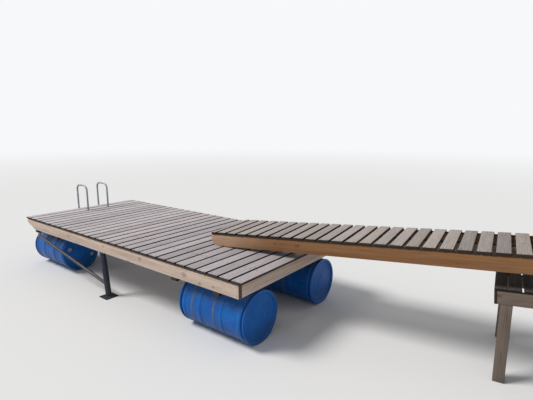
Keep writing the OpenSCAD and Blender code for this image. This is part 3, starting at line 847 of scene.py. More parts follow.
# %% [markdown]
# ## The pontoon's frame
# The lengthwise timbers stand on edge. At the lake end their lower corner is sawn away on
# a slope. A Boolean could cut it, and would leave ragged faces; as the low edge of the wide
# face, given by the distance along it, the cut keeps its rounded edge and its rings. The
# end beams are held by screws through the side of each side beam.

# %% Beams, joists and cross timbers of the pontoon
def sniped(u):
    """Low edge of a lengthwise timber: falls in a straight line over the first stretch."""
    rise = (beam_high[2] - beam_low[2] - SNIPE_TIP) * np.clip(1 - (u - beam_low[0]) / SNIPE_LEN, 0, 1)
    return beam_low[2] + rise


def lengthwise(middle_y, x_low, x_high):
    """A timber on edge along the pontoon, with its sloping cut at the lake end."""
    pith = (random.uniform(-0.05, 0.05), random.choice([-1, 1]) * random.uniform(0.02, 0.05))
    timber = sawn_timber(x_low, x_high, sniped, beam_high[2], BEAM_T, step=0.06, pith=pith,
                         marks=(beam_low[0] + SNIPE_LEN,))
    return timber, ALONG_X_ON_EDGE, (0.0, middle_y, 0.0), random.uniform()


def crosswise_on_edge(node):
    """A timber on edge across the pontoon, filling the box of its CAD node."""
    low, high = corners(node)
    timber = sawn_timber(low[1], high[1], low[2], high[2], high[0] - low[0],
                         pith=(random.uniform(-0.04, 0.04), random.uniform(0.02, 0.05)))
    return timber, ALONG_Y_ON_EDGE, ((low[0] + high[0]) / 2, 0.0, 0.0), random.uniform()


for side, y in zip(("near", "far"), side_beam_middles):
    build(side + "_beam", [lengthwise(y, beam_low[0], beam_high[0])], beam_wood, "pontoon_timber",
          side + "_side_beam")
build("joists", [lengthwise(y, joist_low[0], joist_high[0]) for y in joist_middles], shaded_wood,
      "pontoon_timber", "pontoon_joists")
END_BEAMS = ("lake_end_beam", "shore_end_beam")
build("end_beams", [crosswise_on_edge(node) for node in END_BEAMS], beam_wood, "pontoon_timber",
      *END_BEAMS)

# %% The screws of the frame, and the cross bearers on the drums
# How high above the beams' lower edge they sit
SHORE_END_SCREWS = (0.030, 0.075, 0.120)
LAKE_END_SCREWS = (0.100, 0.132)
JOIST_SCREWS = (0.035, 0.110)

for y, out in ((beam_low[1], (0, -1, 0)), (far_beam_high[1], (0, 1, 0))):
    for z in SHORE_END_SCREWS:
        drive_screw((beam_high[0] - BEAM_T / 2, y, beam_low[2] + z), out)
    for z in LAKE_END_SCREWS:
        drive_screw((beam_low[0] + BEAM_T / 2, y, beam_low[2] + z), out)
for y in joist_middles:
    for z in JOIST_SCREWS:
        drive_screw((beam_high[0], y, beam_low[2] + z), (1, 0, 0))
print("screws so far", len(screw_places))

BEARER_W = 0.095
BEARERS = ("lake_bearers", "shore_bearers")
bearers = []
for low, high in map(corners, BEARERS):
    for x in (low[0] + BEARER_W / 2, high[0] - BEARER_W / 2):
        bearer = sawn_timber(low[1], high[1], -BEARER_W / 2, BEARER_W / 2, high[2] - low[2],
                             pith=(random.uniform(-0.02, 0.02), -random.uniform(0.02, 0.05)))
        bearers.append((bearer, ALONG_Y, (x, 0.0, (low[2] + high[2]) / 2), random.uniform()))
build("bearers", bearers, shaded_wood, "pontoon_timber", *BEARERS)


# %% [markdown]
# ## The gangway and the landing
# Both lie in a frame of their own, turned in plan and tilted upwards to the shore. They
# could be built level and their objects turned, but a finished object stays unturned, so
# their points are written along that frame's axes, which follow here in the model's frame.
# The gangway's beams are cut to a level seat where they rest on the deck.

# %% The gangway's own frame
YAW = math.radians(7.08)
SLOPE = math.radians(4.4)
plan_along = np.array([math.cos(YAW), math.sin(YAW), 0.0])
gang_across = np.array([-math.sin(YAW), math.cos(YAW), 0.0])
gang_along = math.cos(SLOPE) * plan_along + (0.0, 0.0, math.sin(SLOPE))
gang_up = np.cross(gang_along, gang_across)
SEAT_LEN = 0.060
END_REACH = 0.050
END_CUT = 0.070
GANG_BEAM_H = 0.148
GANG_W = 0.810
GANG_BOARDS = 28
GANG_PITCH = 0.1515
GANG_FIRST_W = 0.062
GANG_FIRST_SCREW_OFF = 0.016
GANG_T = 0.025
# The near corner of its low end, on the deck
GANG_CORNER_X = 1.339
GANG_CORNER_Y = 0.716
gang_corner_z = deck_high[2] - SEAT_LEN * math.sin(SLOPE)
gang_corner = np.array([GANG_CORNER_X, GANG_CORNER_Y, gang_corner_z])
gang_len = GANG_FIRST_W + (GANG_BOARDS - 1) * GANG_PITCH - END_REACH


def gang_axes(*order):
    """Picks which of the gangway's axes (0 along, 1 across, 2 up) a timber's own axes follow."""
    return [(gang_along, gang_across, gang_up)[k] for k in order]


def gang_point(u, v, w):
    """A point given along, across and above the gangway, in the model's frame."""
    return gang_corner + u * gang_along + v * gang_across + w * gang_up


def seat_edge(u):
    """Underside of a gangway beam: the cut end slopes down, then the seat lies level on the deck."""
    cut = np.interp(u, [-END_REACH, 0.0], [END_CUT, 0.0])
    seat = np.clip((SEAT_LEN - u) * math.tan(SLOPE), 0, None)
    return np.maximum(cut, seat)


print("gangway length", gang_len, "climb", gang_len * math.sin(SLOPE))


# %% Gangway beams, joist and trimmers
def gang_beam(u0, u1, low, high, across_at, thick, pith, **more):
    """A timber on edge along the gangway, with its middle at across_at."""
    timber = sawn_timber(u0, u1, low, high, thick, pith=pith, **more)
    return timber, gang_axes(0, 2, 1), gang_point(0, across_at, 0), random.uniform()


def gang_cross(u, v0, v1, low, high, thick):
    """A timber on edge across the gangway, with its middle at u."""
    timber = sawn_timber(v0, v1, low, high, thick, pith=(0.02, 0.03))
    return timber, gang_axes(1, 2, 0), gang_point(u, 0, 0), random.uniform()


TRIMMER_SCREWS = (0.035, 0.078, 0.122)
gang_beam_middles = (BEAM_T / 2, GANG_W - BEAM_T / 2)
gang_trimmer_middles = (BEAM_T / 2, gang_len - BEAM_T / 2)
trimmer_lows = (SEAT_LEN * math.tan(SLOPE), 0.0)
gang_beams = [gang_beam(-END_REACH, gang_len, seat_edge, GANG_BEAM_H, y, BEAM_T,
                        (0.03, random.uniform(0.02, 0.04)), step=0.06, marks=(-0.03, 0.0, 0.03, SEAT_LEN))
              for y in gang_beam_middles]
build("gangway_beams", gang_beams, gangway_wood, "gangway_timber", "gangway_near_beam", "gangway_far_beam")
trimmers = [gang_cross(u, BEAM_T, GANG_W - BEAM_T, low, GANG_BEAM_H, BEAM_T)
            for u, low in zip(gang_trimmer_middles, trimmer_lows)]
build("gangway_trimmers", trimmers, gangway_wood, "gangway_timber", "gangway_low_trimmer",
      "gangway_high_trimmer")
middle_joist = gang_beam(BEAM_T, gang_len - BEAM_T, seat_edge, GANG_BEAM_H, GANG_W / 2, BEAM_T,
                         (0.03, 0.03), marks=(SEAT_LEN,))
build("gangway_middle_joist", [middle_joist], shaded_wood, "gangway_timber", "gangway_joist")
for v, out in ((0.0, -gang_across), (GANG_W, gang_across)):
    for u in gang_trimmer_middles:
        for w in TRIMMER_SCREWS:
            drive_screw(gang_point(u, v, w), out)


# %% Gangway boards
def board_across(timbers, u, wide, length, thick, top, screws_at, screw_off, arris=0.003):
    """One board across the gangway or landing, with its screws over each beam."""
    ends = random.uniform(0.0, SHORTER_BY, 2)
    sawn = wide + random.uniform(-0.002, 0.0)
    middle = u + wide / 2
    board = sawn_timber(ends[0], length - ends[1], -sawn / 2, sawn / 2, thick, arris=arris,
                        crook=BEND, bow=SAG, cup=hollow(), pith=board_pith())
    timbers.append((board, gang_axes(1, 0, 2), gang_point(middle, 0, top - thick / 2), random.uniform()))
    for v in screws_at:
        for side in (-1, 1):
            aside = side * screw_off + random.uniform(-0.002, 0.002)
            height = top + board.lift(v, 2 * aside / sawn)
            drive_screw(gang_point(middle + aside, v + random.uniform(-0.004, 0.004), height), gang_up)


gang_starts = GANG_FIRST_W - END_REACH + GANG_PITCH * np.arange(1, GANG_BOARDS) - GANG_BOARD_W
gang_starts += random.uniform(-LAID_OFF, LAID_OFF, GANG_BOARDS - 1)
gang_screw_lines = (gang_beam_middles[0], GANG_W / 2, gang_beam_middles[1])
GANG_SURFACE = (GANG_W, GANG_T, GANG_BEAM_H + GANG_T, gang_screw_lines)
planks = []
board_across(planks, -END_REACH, GANG_FIRST_W, *GANG_SURFACE, GANG_FIRST_SCREW_OFF)
for u in gang_starts:
    board_across(planks, u, GANG_BOARD_W, *GANG_SURFACE, GANG_SCREW_OFF)
build("gangway_planks", planks, gangway_board_wood, "gangway_board_timber", "gangway_boards")

# %% [markdown]
# ## The landing
# The landing is older and darker than the rest, and its boards are darker still: painted
# shade from the gangway over them. It slopes as the gangway does, so the same functions
# make its boards and its frame, which is closed by a thin board at each end. It stands on
# four square posts whose tops are cut to the frame's slope.

# %% Landing boards, frame and the sill under the gangway
LAND_START = 3.067
LAND_BOARDS = 11
LAND_PITCH = 0.111
LAND_W = 1.000
LAND_T = 0.025
LAND_BEAM_H = 0.120
LAND_BEAM_T = 0.045
LAND_END_T = 0.022
SILL_H = 0.150
SILL_W = 0.095
SILL_INSET = 0.120
SILL_TONE = 0.4
land_end = LAND_START + (LAND_BOARDS - 1) * LAND_PITCH + LAND_BOARD_W
land_top = -SILL_H
frame_top = land_top - LAND_T
frame_low = frame_top - LAND_BEAM_H
land_middles = (LAND_BEAM_T / 2, LAND_W / 2, LAND_W - LAND_BEAM_T / 2)

planks = []
for k in range(LAND_BOARDS):
    board_across(planks, LAND_START + k * LAND_PITCH, LAND_BOARD_W, LAND_W, LAND_T, land_top,
                 land_middles, LAND_SCREW_OFF, arris=0.004)
build("landing_planks", planks, landing_board_wood, "landing_board_timber", "landing_boards")

land_frame = [gang_beam(LAND_START + LAND_END_T, land_end - LAND_END_T, frame_low, frame_top, y,
                        LAND_BEAM_T, (0.02, 0.03)) for y in land_middles]
land_frame += [gang_cross(u, 0.0, LAND_W, frame_low, frame_top, LAND_END_T)
               for u in (LAND_START + LAND_END_T / 2, land_end - LAND_END_T / 2)]
build("landing_frame", land_frame, landing_wood, "landing_timber", "landing_front_beam",
      "landing_back_beam", "landing_low_beam", "landing_high_beam", "landing_joist")
sill = sawn_timber(0, GANG_W, land_top, 0.0, SILL_W, pith=(0.0, 0.0))
build("sill", [(sill, gang_axes(1, 2, 0), gang_point(gang_len - SILL_INSET, 0, 0), SILL_TONE)],
      landing_wood, "landing_timber", "gangway_sill")

# %% The landing's posts
POST = 0.095


def landing_post(along, across_at):
    """An upright post: u is the model's z; the last rings are sheared to the frame's slope."""
    height = gang_corner[2] + along * math.tan(SLOPE) + frame_low / math.cos(SLOPE)
    post = sawn_timber(0.0, height, -POST / 2, POST / 2, POST, arris=0.004, pith=(0.0, 0.0))
    post.points[-3:, :, 0] += math.tan(SLOPE) * post.points[-3:, :, 1]
    origin = (gang_corner + along * plan_along + across_at * gang_across) * (1, 1, 0)
    return post, [UP, plan_along, gang_across], origin, random.uniform()


lean = -frame_low * math.sin(SLOPE)
run = math.cos(SLOPE)
posts = [landing_post(along + lean, y) for along in (LAND_START * run + POST, land_end * run - POST)
         for y in (POST / 2, LAND_W - POST / 2)]
build("posts", posts, landing_wood, "landing_timber", "landing_posts")


# %% [markdown]
# ## Plastic, steel and webbing
# These finishes have no grain, so most read the plain Object coordinates. A plain colour
# would show the right hue and look like a toy; what makes an old drum or tube is its
# fading, its scratches and its rust. The drums and legs also have a brown green film up
# to the line that the pontoon floated at. It looks alike on plastic and steel, so it is a
# node group of its own.

# %% A green film up to the old floating line
def make_float_film():
    """Share of green brown film: full below a wavy line, gone a hand's width above it."""
    tree, given = start_group("float_film", {"Height": 0.24, "Amount": 0.5})
    where = object_point(tree)
    line = given["Height"] + (noise(where, 9.0, 4.0, 0.6) - 0.5) * 0.09
    share = (where.parts()[2] - line).ramp(0.03, -0.05)
    patchy = noise(where, 38.0, 5.0, 0.65).ramp(0.25, 0.65, 0.35, 1.0)
    return finish_group(tree, {"Film": share * patchy * given["Amount"]})


float_film = make_float_film()


def layered(colour, *layers):
    """Lays colours over one another, each given as its share and its colour on a screen."""
    for share, over in layers:
        colour = mix(share, colour, linear(*over))
    return colour


# %% Blue drum plastic
def make_drum_plastic():
    """Satin blue: slow fading, chalky scuffs round the drum, scratches along it, dust on top."""
    material, tree, shader = start_material("drum_plastic")
    where = object_point(tree)
    fade = noise(where, 3.0, 4.0, 0.6)
    scuff = noise(where, (60.0, 8.0, 8.0), 4.0, 0.7)
    scratch = noise(where, (9.0, 160.0, 160.0), 2.0, 0.5)
    dust = facing(tree, 0.3, 1.0) * noise(where, 60.0, 3.0, 0.7).ramp(0.35, 0.7)
    film = place_group(tree, float_film, {"Height": 0.2, "Amount": 0.38})["Film"]
    blue = mix(fade.ramp(0.3, 0.7), linear(5, 80, 158), linear(16, 96, 172))
    colour = layered(
        blue, (scuff.ramp(0.58, 0.8, 0.0, 0.45), (96, 134, 180)),
        (scratch.ramp(0.68, 0.76, 0.0, 0.5), (132, 162, 198)),
        (dust * 0.5, (128, 136, 136)), (film, (34, 66, 82)))
    height = fade * 2.0 + scratch * 0.12
    give(shader, colour, scuff.ramp(0.3, 0.8, 0.34, 0.56), height, 0.25, 0.002)
    fill(shader.inputs["Specular IOR Level"], 0.2)
    return material


drum_plastic = make_drum_plastic()
print("nodes in the drums' plastic", len(drum_plastic.node_tree.nodes))


# %% Galvanised steel
def make_steel(name, base, rust_share, metal=0.75, rough=0.48):
    """Dull galvanised steel: a faint crystal pattern, white bloom, and rust freckles."""
    material, tree, shader = start_material(name)
    where = object_point(tree)
    crystal = add(tree, "ShaderNodeTexVoronoi", {"Vector": where, "Scale": 95.0, "Randomness": 1.0},
                  "Color")
    facet = add(tree, "ShaderNodeSeparateColor", {0: crystal})
    bloom = noise(where, 14.0, 5.0, 0.65)
    freckle = noise(where, 70.0, 4.0, 0.7)
    rust = freckle.ramp(0.60, 0.72) * bloom.ramp(0.52, 0.36) * rust_share
    film = place_group(tree, float_film, {"Height": 0.22})["Film"]
    light = linear(*base)
    colour = mix(facet.ramp(0.0, 1.0, 0.0, 0.5), light, scaled(light, 1.5))
    colour = mix(bloom.ramp(0.5, 0.72, 0.0, 0.45), colour, scaled(light, 2.6))
    colour = layered(colour, (rust, (104, 60, 34)), (film, (56, 56, 46)))
    dull = rust.at_least(film)
    fill(shader.inputs["Metallic"], dull.ramp(0.0, 1.0, metal, 0.0, smooth=False))
    roughness = bloom.ramp(0.3, 0.7, rough - 0.08, rough + 0.16) + dull * 0.3
    give(shader, colour, roughness, freckle + rust * 1.5, 0.3, 0.0006)
    return material


# The legs and braces get dark copies of the galvanised steel: painted shade
shade_dark_leg_steel = make_steel("shade_dark_leg_steel", (46, 50, 60), 0.8)
shade_dark_brace_steel = make_steel("shade_dark_brace_steel", (66, 64, 64), 0.7)
plate_steel = make_steel("plate_steel", (100, 101, 103), 0.6)
ladder_steel = make_steel("ladder_steel", (138, 141, 147), 0.4, rough=0.42)
bolt_steel = make_steel("bolt_steel", (138, 138, 138), 0.5, rough=0.4)
weld_steel = make_steel("weld_steel", (78, 78, 82), 0.9, metal=0.5, rough=0.6)
print("nodes in the legs' steel", len(shade_dark_leg_steel.node_tree.nodes))


# %% Webbing and small plastic parts
def make_webbing():
    """Woven strap: a herringbone of slanting waves in the strap's own coordinates, with a
    pale thread along each edge, and dirt over it."""
    material, tree, shader = start_material("strap_webbing")
    along, across, _ = stored(tree, "weave").parts()
    slant = along * 2600.0 + abs(across) * 24.0
    thread = slant.step("SINE") * 0.5 + 0.5
    soil = noise(object_point(tree), 22.0, 4.0, 0.6)
    woven = mix(thread, linear(58, 72, 108), linear(92, 108, 148))
    colour = layered(woven, (abs(across).ramp(0.78, 0.86) * 0.5, (150, 156, 168)),
                     (soil.ramp(0.4, 0.75, 0.0, 0.6), (84, 82, 72)))
    give(shader, colour, soil.ramp(0.3, 0.7, 0.8, 0.95), thread, 0.5, 0.0008)
    return material


def make_small_plastic(name, light, dark):
    """Moulded plastic of bungs and end caps, with a slight mottle and fine grit."""
    material, tree, shader = start_material(name)
    where = object_point(tree)
    mottle = noise(where, 40.0, 4.0, 0.6)
    colour = mix(mottle, linear(*light), linear(*dark))
    give(shader, colour, mottle.ramp(0.3, 0.7, 0.45, 0.65), noise(where, 900.0), 0.2, 0.0004)
    return material


webbing = make_webbing()
bung_plastic = make_small_plastic("bung_plastic", (158, 162, 164), (112, 116, 120))
cap_rubber = make_small_plastic("cap_rubber", (38, 38, 40), (26, 26, 28))
print("nodes in the webbing", len(webbing.node_tree.nodes))


# %% [markdown]
# ## The drums
# A blow-moulded drum is a turned form, so its outline is a radius against the distance
# along its axis: the sunk end with its step, the carrying ring, the groove behind it, the
# shoulder band and two rolling hoops. They could be rings added to a cylinder, but one
# outline makes one closed skin. Its sharp corners are softened by small curves, and the
# wall is dented by a millimetre here and there, as on any used drum. The two halves of
# the mould leave a fine ridge along each side.

# %% Sizes of a drum, and corners made soft
DRUM_R = 0.2855
HOOP_RISE = 0.007
HOOP_W = 0.046
HOOP_SLOPE = 0.012
SHOULDER_W = 0.096
RING_T = 0.016
GROOVE_W = 0.024
GROOVE_DEPTH = 0.020
EDGE_R = 0.016
END_SINK = 0.014
RIM_W = 0.030
drum_low, drum_high = corners("shore_near_drum")
DRUM_LEN = drum_high[0] - drum_low[0]
drum_axis_y = (drum_low[1] + drum_high[1]) / 2
drum_axis_z = drum_low[2] + DRUM_R + HOOP_RISE


def soften(points, reach, steps=4):
    """Replaces each inner corner of a line by a curve: a quadratic arc from a point a little
    before the corner to one a little after it, pulled towards the corner."""
    points = np.asarray(points, float)
    corner = points[1:-1]
    back, ahead = points[:-2] - corner, points[2:] - corner
    shorter = np.minimum(np.linalg.norm(back, axis=1), np.linalg.norm(ahead, axis=1))
    cut = np.minimum(reach, 0.45 * shorter)[:, None]
    first, last = corner + unit(back) * cut, corner + unit(ahead) * cut
    s = np.linspace(0, 1, steps)[None, :, None]
    curve = (1 - s) ** 2 * first[:, None] + 2 * s * (1 - s) * corner[:, None] + s ** 2 * last[:, None]
    return np.concatenate([points[:1], curve.reshape(-1, 2), points[-1:]])


# %% Outline of a drum
# Pairs of distance from the drum's end and radius, from the middle of the end to the belly
top = DRUM_R + HOOP_RISE
behind = RING_T + GROOVE_W
hoop_start, hoop_end = DRUM_LEN / 3 - HOOP_W / 2, DRUM_LEN / 3 + HOOP_W / 2
end_half = [(END_SINK - 0.004, 0.020), (END_SINK - 0.004, 0.075), (END_SINK, 0.081), (END_SINK, 0.226),
            (END_SINK - 0.003, 0.232), (END_SINK - 0.003, 0.244), (END_SINK, 0.250),
            (END_SINK, top - RIM_W - 0.006), (0.0, top - RIM_W), (0.0, top), (RING_T, top),
            (RING_T, top - GROOVE_DEPTH), (behind, top - GROOVE_DEPTH)]
edge_half = [(behind + EDGE_R * (1 - math.cos(a)), top - EDGE_R * (1 - math.sin(a)))
             for a in np.linspace(0, np.pi / 2, 5)]
belly_half = [(SHOULDER_W - 0.012, top), (SHOULDER_W, DRUM_R), (hoop_start, DRUM_R),
              (hoop_start + HOOP_SLOPE, top), (hoop_end - HOOP_SLOPE, top), (hoop_end, DRUM_R)]
half_outline = end_half + edge_half + belly_half
profile = soften(half_outline + [(DRUM_LEN - t, r) for t, r in reversed(half_outline)], 0.004)
print("drum outline points", len(profile), "length", DRUM_LEN)


# %% Forms turned round an axis
DRUM_SIDES = 120
# Dents fade towards the stiff ends, and stay off the faces inside the wall's radius
DENT = 0.0004
STIFF_END = 0.15
WALL_FROM_R = 0.27
# A mould seam stands proud between its two inner lines of points
SEAM_RISE = 0.0005
SEAM_HALF = 0.005
SEAM_FROM_R = 0.28
SEAM_LINES = (-0.008, -0.0035, 0.0035, 0.008)
SEAMS = (0.0, np.pi)
seam_turns = np.array([seam + side for seam in SEAMS for side in SEAM_LINES]) % (2 * np.pi)
drum_turns = np.sort(np.concatenate([around(DRUM_SIDES) + np.pi / (2 * DRUM_SIDES), seam_turns]))


def drum_rings(seed):
    """The outline turned round the axis. To each radius are added slow waves for dents, less
    on the stiff ends, and half a millimetre at each mould seam."""
    t, r = profile.T[:, :, None]
    lot = np.random.RandomState(seed)
    waves = [(n, m, lot.uniform(0.2, 1.0), lot.uniform(0, 6), lot.uniform(0, 6))
             for n, m in ((2, 1), (3, 3), (5, 4), (7, 6))]
    dent = sum(size * np.sin(n * drum_turns + first) * np.sin(m * np.pi * t / DRUM_LEN + second)
               for n, m, size, first, second in waves)
    soft = np.clip(np.minimum(t, DRUM_LEN - t) / STIFF_END, 0, 1) * (r > WALL_FROM_R)
    seam = np.min([np.abs((drum_turns - s + np.pi) % (2 * np.pi) - np.pi) for s in SEAMS], axis=0)
    ridge = SEAM_RISE * (seam < SEAM_HALF) * (r > SEAM_FROM_R)
    return on_axis(t, np.minimum(r + DENT * (dent - 1.0) * soft + ridge, top), drum_turns)


def turned(outline, sides, lobes=0, depth=0.0, square=()):
    """Turns (distance, radius) points round an axis. Lobes knurl the radius by a small share.
    Rings named in square follow a square: the radius over the larger of |cos| and |sin|."""
    t, radius = np.transpose(outline)[:, :, None]
    turn = around(sides)
    rings = radius * (1 + depth * np.sign(np.cos(lobes * turn)))
    for ring in square:
        rings[ring] = radius[ring] / np.maximum(np.abs(np.cos(turn)), np.abs(np.sin(turn)))
    return on_axis(t, rings, turn)


print("lines round a drum", len(drum_turns))


# %% Drums with their bung collars and bungs
BUNG_R = 0.032
BUNG_OFFSET = 0.192
BUNG_TURN = math.radians(23)
COLLAR = ((END_SINK + 0.002, BUNG_R + 0.0015), (0.0055, BUNG_R + 0.0015), (0.005, BUNG_R + 0.0035),
          (0.0058, BUNG_R + 0.0065), (END_SINK + 0.002, BUNG_R + 0.0085))
BUNG = ((END_SINK + 0.001, BUNG_R - 0.002), (0.004, BUNG_R - 0.0006), (0.0024, BUNG_R - 0.0015),
        (0.0020, BUNG_R - 0.0032), (0.0020, 0.0268), (0.0026, 0.0262), (0.0026, 0.0176),
        (0.0080, 0.0172), (0.0080, 0.004))
# Which way each drum's outer end looks, and on which side of the pontoon it lies
DRUM_NODES = {"lake_near_drum": (-1, 1), "lake_far_drum": (-1, -1),
              "shore_near_drum": (1, 1), "shore_far_drum": (1, -1)}
bungs = Forms()
bung_place = BUNG_OFFSET * np.array([0.0, math.cos(BUNG_TURN), -math.sin(BUNG_TURN)])
for seed, (node, (shoreward, side)) in enumerate(DRUM_NODES.items(), 5):
    low, high = corners(node)
    origin = np.array([low[0] if shoreward > 0 else high[0], (low[1] + high[1]) / 2, drum_axis_z])
    axes = np.diag([shoreward, side, 1.0])
    both = [origin - bung_place @ axes, origin + bung_place @ axes]
    drum = Forms()
    drum.add(drum_rings(seed), axes, origin)
    drum.add(turned(COLLAR, 48), axes, both, closed=True)
    bungs.add(turned(BUNG, 96, lobes=24, depth=0.008, square=(6, 7)), axes, both)
    finish_piece(node.replace("_drum", "_blue_drum"), drum, drum_plastic, "drum_plastic", node)
finish_piece("bungs", bungs, bung_plastic, "bung_plastic", "drum_bungs")


# %% [markdown]
# ## Straps and buckles
# Each strap is a flat band round the drum and over a joist: it leaves the drum where a
# straight line from the joist's corner just touches it. The band is a thin rounded
# section carried round that closed path. A curve with a bevel would give the same band,
# but here each point also keeps how far along and across the webbing it lies, and the
# weave is drawn with that. A cam buckle on the free run pulls the strap tight.

# %% The path of a strap
STRAP_W = 0.025
STRAP_T = 0.002
STRAP_CLEAR = 0.0003
STRAP_GAPS = ((DECK_BOARDS - 10) / 2, (DECK_BOARDS - 6) / 2)
ARC_STEPS = 90
RUN_STEPS = 13
TOP_STEPS = 4


def strap_path():
    """Points (y, z) round a drum's axis, halfway through the band, in order: the arc under the
    drum from one touch point to the other, then up, over the joist's top, and down again."""
    radius = DRUM_R + STRAP_CLEAR + STRAP_T / 2
    corner = np.array([BEAM_T / 2 + STRAP_T / 2, beam_high[2] - drum_axis_z + STRAP_T / 2])
    touch = math.atan2(corner[1], corner[0]) - math.acos(radius / np.linalg.norm(corner))
    arc = np.linspace(touch, -np.pi - touch, ARC_STEPS)
    arc = radius * np.stack([np.cos(arc), np.sin(arc)], -1)
    left = corner * (-1, 1)
    share = np.linspace(0, 1, RUN_STEPS + 1)[1:, None]
    rise = arc[-1] + (left - arc[-1]) * share
    over = left + (corner - left) * np.linspace(0, 1, TOP_STEPS + 1)[1:, None]
    fall = corner + (arc[0] - corner) * share[:-1]
    return np.concatenate([arc, rise, over, fall])


path = strap_path()
print("webbing in one strap", np.linalg.norm(path - np.roll(path, 1, 0), axis=1).sum())


# %% A flat band along a path
def heading(path, closed):
    """The way a path goes at each point: from the point before it to the one after it."""
    return unit(np.roll(path, -1, 0) - np.roll(path, 1, 0) if closed else np.gradient(path, axis=0))


def band(path, width, thick):
    """A flat closed band: at each point of the path, a thin section of eight points, whose
    width runs along x and whose thickness is square to the path."""
    out = heading(path, closed=True)[:, ::-1] * (-1, 1)
    half_w, half_t, ease = width / 2, thick / 2, 0.3 * thick
    quarter = np.array([(half_w, half_t - ease), (half_w - ease, half_t)])
    section = np.concatenate([quarter, quarter[::-1] * (-1, 1), -quarter, quarter[::-1] * (1, -1)])
    x = np.broadcast_to(section[:, 0], (len(path), 8))
    yz = path[:, None, :] + section[None, :, 1:] * out[:, None, :]
    gone = np.concatenate([[0], np.cumsum(np.linalg.norm(np.diff(path, axis=0), axis=1))])
    weave = np.stack([np.broadcast_to(gone[:, None], x.shape), x / half_w, np.zeros(x.shape)], -1)
    return np.concatenate([x[..., None], yz], -1), weave


# %% Two straps on each of the four drums
strap_rings, strap_weave = band(path, STRAP_W, STRAP_T)
drum_ys = (drum_axis_y, 2 * CENTRE_Y - drum_axis_y)
for name, end in (("lake", -1), ("shore", 1)):
    places = [(MIDDLE_X + end * gap * DECK_PITCH, y, drum_axis_z) for gap in STRAP_GAPS for y in drum_ys]
    straps = Forms()
    straps.add(strap_rings, origins=places, closed=True, weave=strap_weave)
    finish_piece(name + "_webbing", straps, webbing, "strap_webbing", name + "_straps")


# %% Round bars and flat plates
def circle(turn, first, second):
    """Points round a circle of radius 1, in the plane of two directions."""
    return np.cos(turn)[:, None] * first + np.sin(turn)[:, None] * second


def tube(path, radius, across_way, sides=16, closed=False):
    """A round bar along a path in space: at each point a circle square to the path, one of
    whose directions is square to across_way, which the path never follows."""
    path = np.asarray(path, float)
    ahead = heading(path, closed)
    side = unit(np.cross(ahead, np.asarray(across_way, float)))
    other = np.cross(side, ahead)
    radius = np.broadcast_to(radius, len(path))[:, None, None]
    return path[:, None] + radius * circle(around(sides), side[:, None], other[:, None])


def plate(outline, thick):
    """A flat plate in its own x and y with slightly eased edges: four rings through its thickness."""
    out = unit(outline - outline.mean(0))
    ease, half = min(0.0006, 0.3 * thick), thick / 2
    levels = ((-half, ease), (-half + ease, 0.0), (half - ease, 0.0), (half, ease))
    return np.array([np.column_stack([outline - drawn * out, np.full(len(outline), z)])
                     for z, drawn in levels])


def rounded_bar(x0, x1, half, steps=7):
    """Outline of a bar with round ends, from x0 to x1."""
    turn = np.linspace(-np.pi / 2, np.pi / 2, steps)
    arc = half * np.stack([np.cos(turn), np.sin(turn)], -1)
    return np.concatenate([(x1 - half, 0) + arc, (x0 + half, 0) - arc])


# %% Cam buckles
BUCKLE_HALF_W = STRAP_W / 2 + 0.003
BUCKLE_AT = 0.42
CHEEK_REACH = 0.026
CHEEK_HALF_H = 0.009
CHEEK_T = 0.002
CHEEK_Z = 0.006
LEVER_Z = 0.015
# Two pins and the cam between them: place along the strap, height off it, and radius
PINS = ((-0.020, CHEEK_Z, 0.0028), (0.020, CHEEK_Z, 0.0028), (0.003, 0.010, 0.0065))


def add_buckle(forms, axes, origin):
    """A cam buckle in its own axes, x across the strap, y along it and z away from it: two
    cheek plates, two cross pins, a cam and its thumb lever."""
    cheek = plate(rounded_bar(-CHEEK_REACH, CHEEK_REACH, CHEEK_HALF_H), CHEEK_T)
    for side in (-1, 1):
        forms.add(cheek[..., [2, 0, 1]] + (side * BUCKLE_HALF_W, 0, CHEEK_Z), axes, origin)
    reach = BUCKLE_HALF_W + CHEEK_T
    for y, z, radius in PINS:
        pin = [(x, y, z) for x in (-reach, -BUCKLE_HALF_W, BUCKLE_HALF_W, reach)]
        forms.add(tube(pin, radius, UP, 12), axes, origin)
    lever = plate(rounded_bar(-0.006, 0.036, 0.011), 0.0025)[..., [1, 0, 2]]
    forms.add(lever + (0, 0.004, LEVER_Z), axes, origin)


buckles = Forms()
rise_start, rise_end = path[ARC_STEPS - 1], path[ARC_STEPS + RUN_STEPS - 1]
run_way = unit(rise_end - rise_start)
spot = rise_start + (rise_end - rise_start) * BUCKLE_AT
away = np.array([-run_way[1], run_way[0]])
away *= np.sign(away @ spot)
for x in [MIDDLE_X + end * gap * DECK_PITCH for end in (-1, 1) for gap in STRAP_GAPS]:
    for y, side in zip(drum_ys, (1, -1)):
        axes = [(1, 0, 0), (0, side * run_way[0], run_way[1]), (0, side * away[0], away[1])]
        add_buckle(buckles, axes, (x, y + side * spot[0], drum_axis_z + spot[1]))
finish_piece("buckles", buckles, bolt_steel, "bolt_steel")


# %% [markdown]
# ## Legs, braces and their welds
# The legs are straight tubes welded between two plates, and a tube brace runs from each
# leg up to a hanger under the outer bearer. A weld is a bead laid round the joint: a small
# round bar along the line where the two surfaces meet, with ripples where each drop set.
# A Boolean could find that line, but a tube meets a plane or another tube at points that
# a short formula gives, evenly spaced.

# %% Legs as smooth tubes, cut level at both plates
RAKE = math.radians(7.5)
LEG_R = 0.038
LEG_SPOTS = ((0.0, 0.0, 0.0), (0.0, 2 * CENTRE_Y, 0.0))
ACROSS = np.array([0.0, 1.0, 0.0])
leg_way = np.array([-math.sin(RAKE), 0.0, math.cos(RAKE)])
leg_low, leg_high = corners("near_leg")


